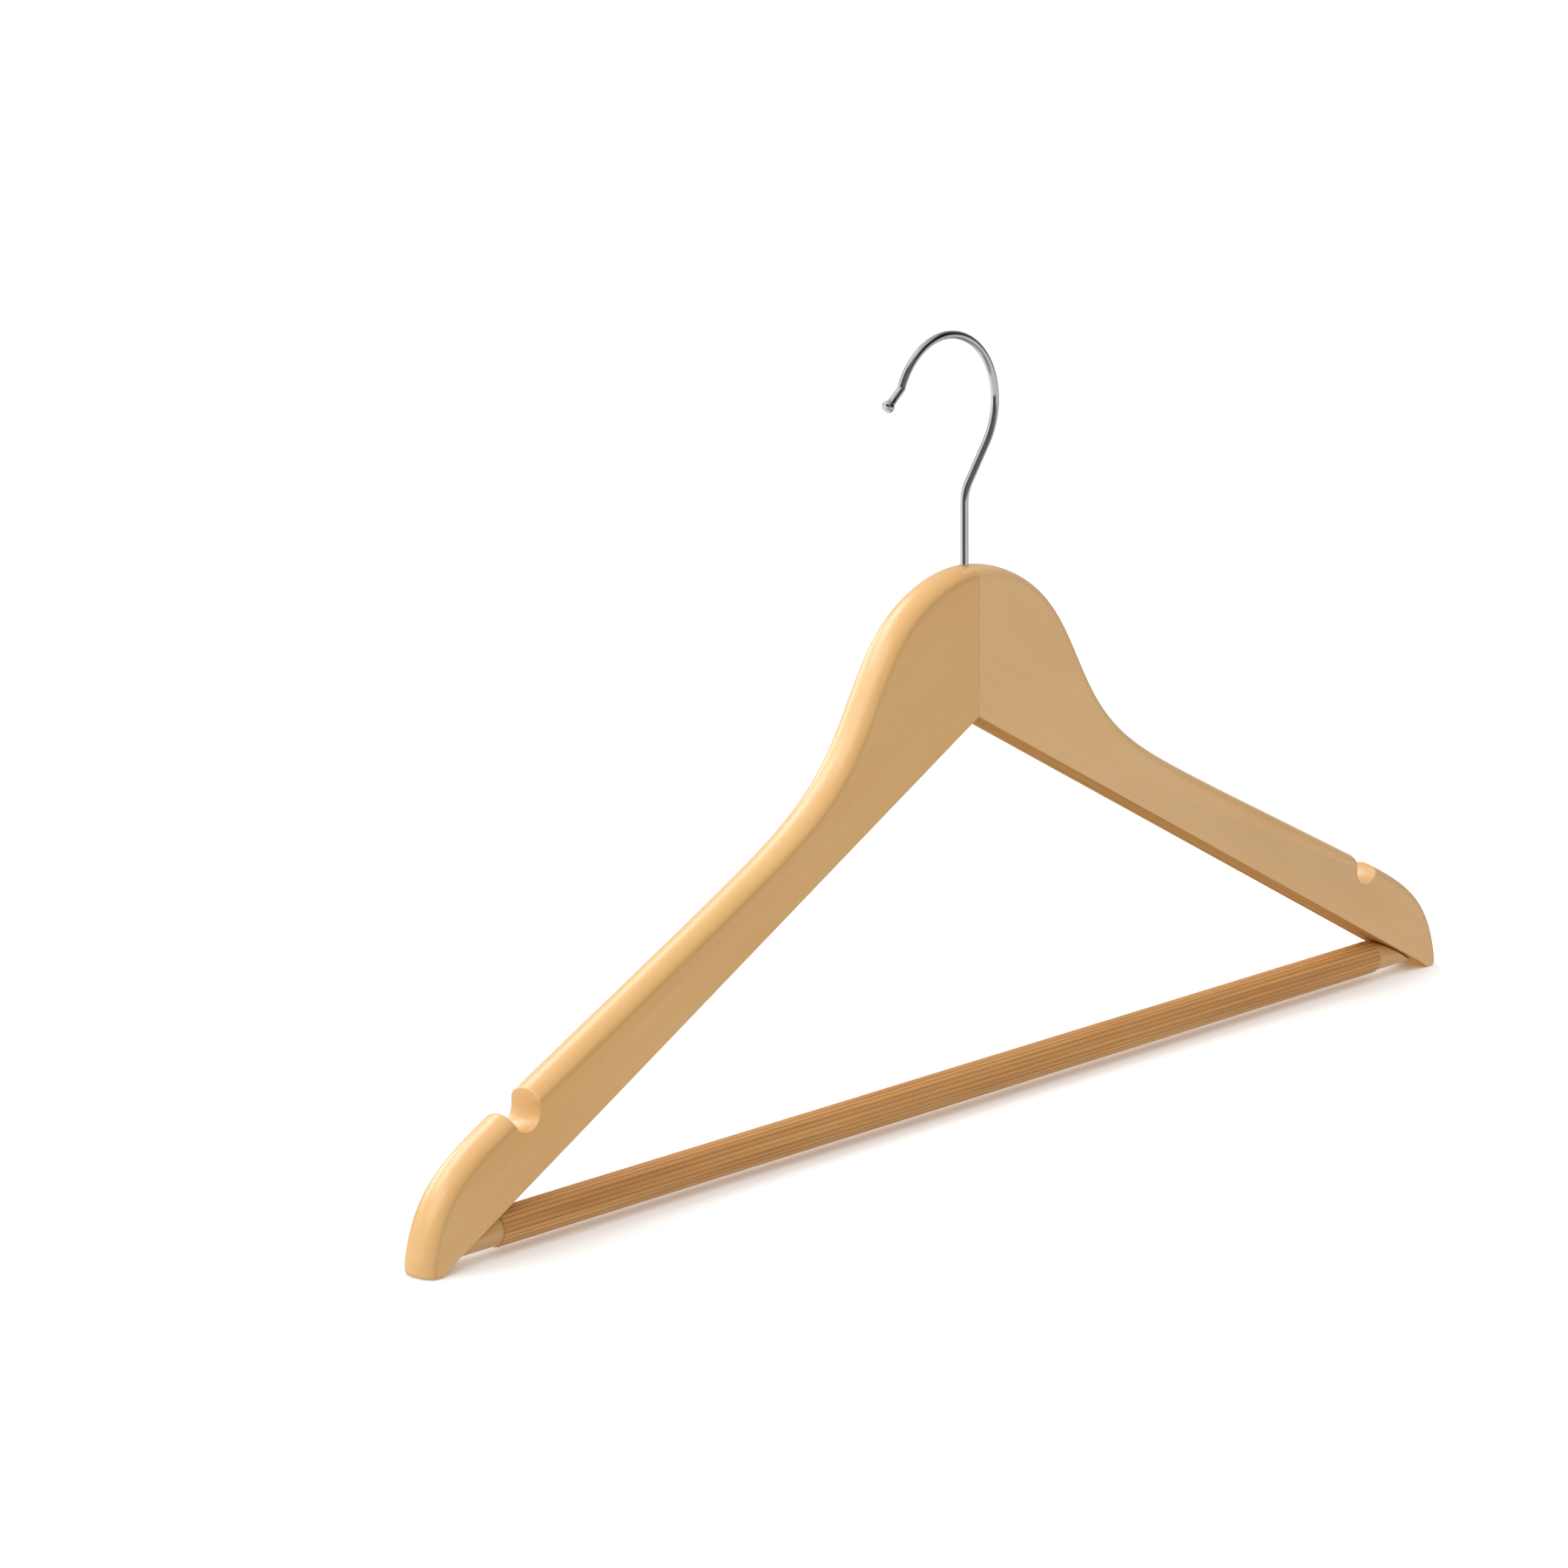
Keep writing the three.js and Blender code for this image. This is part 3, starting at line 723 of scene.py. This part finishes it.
class Nodes:
    """A short way to write a node material."""

    def __init__(self, name):
        self.material = bpy.data.materials.new(name)
        self.material.use_nodes = True
        self.tree = self.material.node_tree
        self.tree.nodes.clear()
        self.out = self.tree.nodes.new("ShaderNodeOutputMaterial")
        self.bsdf = self.tree.nodes.new("ShaderNodeBsdfPrincipled")
        self.link(self.bsdf.outputs[0], self.out.inputs["Surface"])

    def node(self, kind, **settings):
        n = self.tree.nodes.new(kind)
        for key, value in settings.items():
            setattr(n, key, value)
        return n

    def link(self, a, b):
        self.tree.links.new(a, b)

    def coordinates(self, rotation=(0, 0, 0), location=(0, 0, 0), scale=(1, 1, 1)):
        c = self.node("ShaderNodeTexCoord")
        m = self.node("ShaderNodeMapping")
        m.inputs["Rotation"].default_value = rotation
        m.inputs["Location"].default_value = location
        m.inputs["Scale"].default_value = scale
        self.link(c.outputs["Object"], m.inputs["Vector"])
        return m.outputs[0]

    def stretch(self, vector, scale):
        m = self.node("ShaderNodeVectorMath", operation="MULTIPLY")
        self.link(vector, m.inputs[0])
        m.inputs[1].default_value = scale
        return m.outputs[0]

    def noise(self, vector, scale=1.0, detail=3.0, rough=0.55, distortion=0.0):
        n = self.node("ShaderNodeTexNoise")
        self.link(vector, n.inputs["Vector"])
        n.inputs["Scale"].default_value = scale
        n.inputs["Detail"].default_value = detail
        n.inputs["Roughness"].default_value = rough
        n.inputs["Distortion"].default_value = distortion
        return n.outputs["Fac"]

    def span(self, value, a, b, c=0.0, d=1.0, smooth=False):
        m = self.node("ShaderNodeMapRange")
        m.clamp = True
        if smooth:
            m.interpolation_type = "SMOOTHSTEP"
        self.link(value, m.inputs["Value"])
        for key, x in zip(("From Min", "From Max", "To Min", "To Max"), (a, b, c, d)):
            m.inputs[key].default_value = x
        return m.outputs[0]

    def math(self, operation, a, b):
        m = self.node("ShaderNodeMath", operation=operation)
        for i, x in enumerate((a, b)):
            if isinstance(x, (int, float)):
                m.inputs[i].default_value = x
            else:
                self.link(x, m.inputs[i])
        return m.outputs[0]

    def mix(self, factor, a, b, blend="MIX"):
        m = self.node("ShaderNodeMix", data_type="RGBA", blend_type=blend)
        for key, x in ((0, factor), (6, a), (7, b)):
            if isinstance(x, (int, float, tuple)):
                m.inputs[key].default_value = x
            else:
                self.link(x, m.inputs[key])
        return m.outputs[2]

    def attribute(self, name):
        a = self.node("ShaderNodeAttribute")
        a.attribute_name = name
        return a.outputs["Fac"]

    def bump(self, height, strength, distance, normal=None):
        b = self.node("ShaderNodeBump")
        b.inputs["Strength"].default_value = strength
        b.inputs["Distance"].default_value = distance
        self.link(height, b.inputs["Height"])
        if normal is not None:
            self.link(normal, b.inputs["Normal"])
        return b.outputs[0]

    def set(self, **values):
        for key, value in values.items():
            socket = self.bsdf.inputs[key.replace("_", " ")]
            if isinstance(value, (int, float, tuple)):
                socket.default_value = value
            else:
                self.link(value, socket)


def wood(name, grain_turn, offset, light, deep, crease_shade_strength=None, gloss=0.42):
    """Pale close-grained wood under a satin lacquer. The grain runs along x after the turn about y."""
    m = Nodes(name)
    p = m.coordinates(rotation=(0, grain_turn, 0), location=offset)
    # broad bands of early and late wood, wandering slowly along the plank
    wander = m.noise(m.stretch(p, (7, 18, 18)), 1.0, 2.0)
    bands = m.noise(m.stretch(p, (4.5, 150, 110)), 1.0, 4.0, 0.6, 0.35)
    fibres = m.noise(m.stretch(p, (55, 1500, 1500)), 1.0, 3.0, 0.65)
    hair = m.noise(m.stretch(p, (160, 4200, 4200)), 1.0, 2.0, 0.6)
    flecks = m.noise(m.stretch(p, (420, 2600, 2600)), 1.0, 1.0)
    cloud = m.noise(m.stretch(p, (16, 26, 26)), 1.0, 2.0)
    tone = m.math("ADD", m.math("MULTIPLY", m.span(bands, 0.30, 0.70), 0.26), m.math("MULTIPLY", m.span(wander, 0.3, 0.7), 0.24))
    tone = m.math("ADD", tone, m.math("MULTIPLY", m.span(fibres, 0.3, 0.7), 0.18))
    tone = m.math("ADD", tone, m.math("MULTIPLY", m.span(cloud, 0.3, 0.7), 0.32))
    colour = m.mix(tone, deep, light)
    colour = m.mix(m.span(flecks, 0.66, 0.8, 0.0, 0.28), colour, tuple(c * 0.62 for c in deep[:3]) + (1,))
    if crease_shade_strength is not None:
        # painted shade: the base colour is darkened in a narrow line along the crease where the face turns over into
        # the crown
        colour = m.mix(m.math("MULTIPLY", m.attribute("crease_shade_mask"), crease_shade_strength), colour, tuple(c * 0.72 for c in deep[:3]) + (1,))
    m.set(Base_Color=colour)
    rough = m.math("ADD", m.span(fibres, 0.3, 0.7, gloss - 0.04, gloss + 0.05), m.span(cloud, 0.3, 0.7, -0.03, 0.03))
    m.set(Roughness=rough, IOR=1.5, Specular_IOR_Level=0.5, Coat_Weight=0.6, Coat_Roughness=0.2, Coat_IOR=1.5)
    height = m.math("ADD", m.math("MULTIPLY", fibres, 0.6), m.math("MULTIPLY", hair, 0.4))
    normal = m.bump(height, 0.22, 0.00006)
    normal = m.bump(cloud, 0.3, 0.0006, normal)
    m.set(Normal=normal)
    return m.material


def sawn_shaded_wood(name, grain_turn, offset, light, deep):
    """The arms' undersides: cut straight along the grain, sanded and barely sealed, so duller and streaked; their
    darker, more orange base colour is painted shade and painted warm bounce light.
    """
    m = Nodes(name)
    p = m.coordinates(rotation=(0, grain_turn, 0), location=offset)
    streak = m.noise(m.stretch(p, (5, 620, 300)), 1.0, 4.0, 0.6)
    dark = m.noise(m.stretch(p, (9, 1300, 400)), 1.0, 2.0, 0.5)
    fibres = m.noise(m.stretch(p, (60, 2600, 1500)), 1.0, 3.0, 0.65)
    chatter = m.noise(m.stretch(p, (900, 90, 90)), 1.0, 2.0, 0.5)
    colour = m.mix(m.span(streak, 0.3, 0.7), deep, light)
    colour = m.mix(m.span(dark, 0.56, 0.7, 0.0, 0.55), colour, tuple(c * 0.55 for c in deep[:3]) + (1,))
    colour = m.mix(m.span(fibres, 0.5, 0.8, 0.0, 0.25), colour, tuple(c * 0.7 for c in deep[:3]) + (1,))
    m.set(Base_Color=colour, Roughness=m.span(fibres, 0.3, 0.7, 0.66, 0.82))
    m.set(IOR=1.45, Specular_IOR_Level=0.12)
    normal = m.bump(fibres, 0.35, 0.00008)
    m.set(Normal=m.bump(chatter, 0.12, 0.0001, normal))
    return m.material


LIGHT, DEEP = srgb(233, 187, 121), srgb(219, 166, 97)
# the undersides' darker, more orange colours are painted shade and painted warm bounce light
SAWN_SHADED = (srgb(213, 161, 88), srgb(183, 125, 57))
left_sawn_shaded = sawn_shaded_wood("arm_wood_left_sawn_shaded", THETA, (0.31, 0.02, 0.07), *SAWN_SHADED)
right_sawn_shaded = sawn_shaded_wood("arm_wood_right_sawn_shaded", -THETA, (0.64, 0.09, 0.15), *SAWN_SHADED)
# the last argument sets the painted shade along the crease, stronger on the left arm than on the right
left_wood = wood("arm_wood_left", THETA, (0.31, 0.02, 0.07), LIGHT, DEEP, 0.3)
right_wood = wood("arm_wood_right", -THETA, (0.64, 0.09, 0.15), srgb(237, 194, 136), srgb(223, 174, 112), 0.1)
dowel_wood = wood("dowel_wood_turned", 0.0, (0.1, 0.4, 0.9), srgb(222, 176, 112), srgb(200, 148, 84), None, 0.46)


def chrome():
    m = Nodes("hook_chrome_bright")
    p = m.coordinates()
    film = m.noise(m.stretch(p, (140, 140, 60)), 1.0, 3.0)
    drawn = m.noise(m.stretch(p, (3800, 3800, 260)), 1.0, 2.0, 0.6)
    m.set(Base_Color=m.mix(m.span(film, 0.3, 0.7), (0.80, 0.81, 0.82, 1), (0.88, 0.885, 0.89, 1)), Metallic=1.0)
    m.set(Roughness=m.math("ADD", m.span(film, 0.3, 0.7, 0.05, 0.09), m.span(drawn, 0.4, 0.7, 0.0, 0.03)))
    m.set(Normal=m.bump(drawn, 0.05, 0.00002))
    return m.material


def sleeve_plastic():
    m = Nodes("sleeve_plastic_ribbed")
    p = m.coordinates()
    wood_under = m.noise(m.stretch(p, (9, 420, 420)), 1.0, 4.0, 0.6)
    cloud = m.noise(m.stretch(p, (30, 90, 90)), 1.0, 3.0)
    scuff = m.noise(m.stretch(p, (240, 1800, 1800)), 1.0, 3.0, 0.6)
    colour = m.mix(m.span(wood_under, 0.32, 0.68), srgb(188, 130, 72), srgb(224, 170, 104))
    colour = m.mix(m.span(cloud, 0.35, 0.7, 0.0, 0.35), colour, srgb(214, 160, 98))
    # painted shade: the base colour is darkened in the grooves between the ribs
    colour = m.mix(m.math("MULTIPLY", m.attribute("groove"), 0.42), colour, srgb(122, 74, 36))
    m.set(Base_Color=colour)
    m.set(Roughness=m.math("ADD", m.span(cloud, 0.3, 0.7, 0.28, 0.36), m.span(scuff, 0.45, 0.75, 0.0, 0.12)))
    m.set(IOR=1.45, Specular_IOR_Level=0.32, Subsurface_Weight=0.12, Subsurface_Radius=(1.0, 0.5, 0.3), Subsurface_Scale=0.0004)
    m.set(Normal=m.bump(scuff, 0.12, 0.00005))
    return m.material


def brad_steel():
    m = Nodes("brad_steel_plain")
    p = m.coordinates()
    grind = m.noise(m.stretch(p, (5200, 600, 900)), 1.0, 3.0, 0.6)
    spots = m.noise(m.stretch(p, (1500, 1500, 1500)), 1.0, 3.0)
    colour = m.mix(m.span(spots, 0.4, 0.75), srgb(176, 178, 180), srgb(138, 132, 124))
    m.set(Base_Color=colour, Metallic=1.0, Roughness=m.span(grind, 0.3, 0.7, 0.28, 0.46))
    m.set(Normal=m.bump(grind, 0.25, 0.00003))
    return m.material


def sawn_shaded_faces(obj, material):
    """Gives the flat underside its own material, whose darker, more orange colour is painted shade and painted bounce
    light.
    """
    mesh = obj.data
    mesh.materials.append(material)
    for poly in mesh.polygons:
        x, z = poly.center.x * 1000 - OX, poly.center.z * 1000 - OZ
        depth = (z - (UNDER_APEX_Z - UNDER_SLOPE * abs(x))) * math.cos(THETA)
        if depth < 0.16 and poly.normal.z < -0.5 and abs(poly.normal.y) < 0.7:
            poly.material_index = 1


steel = brad_steel()
for obj, material in ((left_arm, left_wood), (right_arm, right_wood), (dowel, dowel_wood), (hook, chrome()),
                      (sleeve, sleeve_plastic()), (left_brad, steel), (right_brad, steel)):
    obj.data.materials.clear()
    obj.data.materials.append(material)
sawn_shaded_faces(left_arm, left_sawn_shaded)
sawn_shaded_faces(right_arm, right_sawn_shaded)

for obj, node, body, slot in (
    (left_arm, "left_arm", "frame", "arm_wood"), (right_arm, "right_arm", "frame", "arm_wood"),
    (hook, "hook", "hook", "hook_chrome"), (dowel, "trouser_bar_dowel", "frame", "dowel_wood"),
    (sleeve, "bar_sleeve", "frame", "sleeve_plastic"),
    (left_brad, "left_bar_brad", "frame", "brad_steel"), (right_brad, "right_bar_brad", "frame", "brad_steel"),
):
    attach(obj, body)
    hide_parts(node)

# ------------------------------------------------------------ floor and lights
floor_z = min(v.co.z for o in (left_arm, right_arm) for v in o.data.vertices) - 0.0001
floor_mesh = bpy.data.meshes.new("floor")
floor_mesh.from_pydata([(-14, -14, floor_z), (14, -14, floor_z), (14, 14, floor_z), (-14, 14, floor_z)], [], [[0, 1, 2, 3]])
floor = bpy.data.objects.new("floor", floor_mesh)
scene.collection.objects.link(floor)
floor.visible_diffuse = False                 # the studio below lights the undersides instead
floor.visible_glossy = False
floor.visible_shadow = False
fm = Nodes("floor_white")
fp = fm.coordinates()
fm.set(Base_Color=fm.mix(fm.noise(fm.stretch(fp, (3, 3, 3)), 1.0, 2.0), (0.93, 0.93, 0.93, 1), (0.95, 0.95, 0.95, 1)), Roughness=0.7, Specular_IOR_Level=0.0)
floor.data.materials.append(fm.material)

# The studio. Reflections show a white tent with grey and black cards in front
# of the hanger; everything else is lit by soft panels. Azimuth runs from -Y
# towards +X, and angles are in degrees.
CARDS = [
    # azimuth from, to, softness, elevation from, to, softness low, high, how dark
    (-102, -26, 14, -14.5, 60, 3, 14, 0.88),
    (-26, 100, 16, -5, 57, 8, 18, 0.78),
    (16, 64, 12, 1, 43, 6, 10, 0.93),
    (-134, 122, 16, -76, -46, 10, 10, 0.58),
    (52, 172, 24, -89, 89, 2, 2, 0.26),
    (166, 220, 8, -2, 30, 8, 10, 0.78),
    (-220, -166, 8, -2, 30, 8, 10, 0.78),
]
FILL = [(-100, 35, 1.6, 0.34), (20, -60, 1.2, -0.25)]
world = bpy.data.worlds.new("studio")
scene.world = world
world.use_nodes = True
wt = world.node_tree
wt.nodes.clear()


def wnode(kind, **settings):
    n = wt.nodes.new(kind)
    for key, value in settings.items():
        setattr(n, key, value)
    return n


def wmath(operation, *values):
    n = wnode("ShaderNodeMath", operation=operation)
    for i, v in enumerate(values):
        if isinstance(v, (int, float)):
            n.inputs[i].default_value = v
        else:
            wt.links.new(v, n.inputs[i])
    return n.outputs[0]


def wspan(value, a, b, c=0.0, d=1.0):
    n = wnode("ShaderNodeMapRange")
    n.clamp = True
    n.interpolation_type = "SMOOTHSTEP"
    wt.links.new(value, n.inputs["Value"])
    for key, x in zip(("From Min", "From Max", "To Min", "To Max"), (a, b, c, d)):
        n.inputs[key].default_value = x
    return n.outputs[0]


def panels(base, items):
    """Brightness by direction: a base level with soft round panels added to it."""
    direction = wnode("ShaderNodeTexCoord").outputs["Generated"]
    total = base
    for azimuth, elevation, tight, strength in items:
        az, el = math.radians(azimuth), math.radians(elevation)
        dot = wnode("ShaderNodeVectorMath", operation="DOT_PRODUCT")
        wt.links.new(direction, dot.inputs[0])
        dot.inputs[1].default_value = (math.cos(el) * math.sin(az), -math.cos(el) * math.cos(az), math.sin(el))
        lobe = wmath("EXPONENT", wmath("MULTIPLY_ADD", dot.outputs["Value"], tight, -tight))
        total = wmath("MULTIPLY_ADD", lobe, strength, total)
    background = wnode("ShaderNodeBackground")
    wt.links.new(wmath("MAXIMUM", total, 0.002), background.inputs["Strength"])
    return background


def tent(front, back, cards):
    """The reflected tent: brighter behind the hanger than in front, with rectangular cards in it."""
    split = wnode("ShaderNodeSeparateXYZ")
    wt.links.new(wnode("ShaderNodeTexCoord").outputs["Generated"], split.inputs[0])
    x, y, z = split.outputs
    azimuth = wmath("MULTIPLY", wmath("ARCTAN2", x, wmath("MULTIPLY", y, -1.0)), 180 / math.pi)
    elevation = wmath("MULTIPLY", wmath("ARCSINE", z), 180 / math.pi)
    total = wspan(wmath("ABSOLUTE", wmath("ADD", azimuth, -18.0)), 99, 138, front, back)
    for a0, a1, soft, e0, e1, low, high, dark in cards:
        inside = wmath("MULTIPLY", wspan(azimuth, a0 - soft / 2, a0 + soft / 2), wspan(azimuth, a1 + soft / 2, a1 - soft / 2))
        inside = wmath("MULTIPLY", inside, wspan(elevation, e0 - low / 2, e0 + low / 2))
        inside = wmath("MULTIPLY", inside, wspan(elevation, e1 + high / 2, e1 - high / 2))
        total = wmath("MULTIPLY", total, wmath("MULTIPLY_ADD", inside, -dark, 1.0))
    background = wnode("ShaderNodeBackground")
    wt.links.new(total, background.inputs["Strength"])
    return background


seen = wnode("ShaderNodeBackground")
seen.inputs["Color"].default_value = (1.0, 1.0, 1.0, 1.0)
seen.inputs["Strength"].default_value = 1.0
rays = wnode("ShaderNodeLightPath")
gloss_mix, view_mix, world_out = wnode("ShaderNodeMixShader"), wnode("ShaderNodeMixShader"), wnode("ShaderNodeOutputWorld")
wt.links.new(rays.outputs["Is Glossy Ray"], gloss_mix.inputs[0])
wt.links.new(panels(1.0, FILL).outputs[0], gloss_mix.inputs[1])
wt.links.new(tent(0.68, 0.98, CARDS).outputs[0], gloss_mix.inputs[2])
wt.links.new(rays.outputs["Is Camera Ray"], view_mix.inputs[0])
wt.links.new(gloss_mix.outputs[0], view_mix.inputs[1])
wt.links.new(seen.outputs[0], view_mix.inputs[2])
wt.links.new(view_mix.outputs[0], world_out.inputs["Surface"])

sun_data = bpy.data.lights.new("key", "SUN")
sun_data.energy = 0.62
sun_data.angle = math.radians(38)
sun = bpy.data.objects.new("key", sun_data)
scene.collection.objects.link(sun)
sun.rotation_mode = "QUATERNION"
sun.rotation_quaternion = Vector((0.80, -0.28, -0.75)).to_track_quat("-Z", "Y")

# soft boxes behind the hanger for the satin highlights of the wood and the bar
soft_data = bpy.data.lights.new("back_box", "AREA")
soft_data.shape = "RECTANGLE"
soft_data.size, soft_data.size_y = 1.1, 0.5
soft_data.energy = 6.0
soft_box = bpy.data.objects.new("back_box", soft_data)
scene.collection.objects.link(soft_box)
soft_box.location = (-0.13, 1.75, 0.48)
soft_box.rotation_mode = "QUATERNION"
soft_box.rotation_quaternion = (Vector((0, 0, -0.12)) - Vector(soft_box.location)).to_track_quat("-Z", "Y")
lit = bpy.data.collections.new("soft_box_lit")
for o in (left_arm, right_arm, dowel, sleeve, left_brad, right_brad):
    lit.objects.link(o)
soft_box.light_linking.receiver_collection = lit
sunlit = bpy.data.collections.new("sunlit")        # everything but the hook, which only mirrors the tent
for o in (left_arm, right_arm, dowel, sleeve, left_brad, right_brad, floor):
    sunlit.objects.link(o)
sun.light_linking.receiver_collection = sunlit
high_data = bpy.data.lights.new("high_box", "AREA")
high_data.shape = "RECTANGLE"
high_data.size, high_data.size_y = 1.6, 0.5
high_data.energy = 10.0
high_box = bpy.data.objects.new("high_box", high_data)
scene.collection.objects.link(high_box)
high_box.location = (-0.27, 1.32, 1.1)
high_box.rotation_mode = "QUATERNION"
high_box.rotation_quaternion = (Vector((0, 0, -0.12)) - Vector(high_box.location)).to_track_quat("-Z", "Y")
high_box.light_linking.receiver_collection = lit

# a second sun on the floor alone, which keeps the shadow light
floor_sun_data = bpy.data.lights.new("floor_wash", "SUN")
floor_sun_data.energy = 1.2
floor_sun_data.angle = math.radians(120)
floor_sun = bpy.data.objects.new("floor_wash", floor_sun_data)
scene.collection.objects.link(floor_sun)
floor_lit = bpy.data.collections.new("floor_lit")
floor_lit.objects.link(floor)
floor_sun.light_linking.receiver_collection = floor_lit

# --------------------------------------------------------------------- camera
yaw, pitch, roll = math.radians(46.89), math.radians(-12.97), math.radians(-0.45)
forward = Vector((math.sin(yaw) * math.cos(pitch), math.cos(yaw) * math.cos(pitch), math.sin(pitch)))
right_axis = Vector((math.cos(yaw), -math.sin(yaw), 0))
up_axis = right_axis.cross(forward)
r2 = right_axis * math.cos(roll) + up_axis * math.sin(roll)
u2 = -right_axis * math.sin(roll) + up_axis * math.cos(roll)
camera_data = bpy.data.cameras.new("camera")
camera_data.sensor_width = 36
camera_data.lens = 36 * 6785 / 1800
camera_data.clip_start, camera_data.clip_end = 0.05, 100
camera = bpy.data.objects.new("camera", camera_data)
scene.collection.objects.link(camera)
target = Vector(((-76.4 + OX) / 1000, 0, (110.3 + OZ) / 1000))
rotation = Matrix((r2, u2, -forward)).transposed()
camera.matrix_world = Matrix.Translation(target - forward * 1.652) @ rotation.to_4x4()
scene.camera = camera
scene.view_settings.view_transform = "Standard"
scene.view_settings.look = "None"
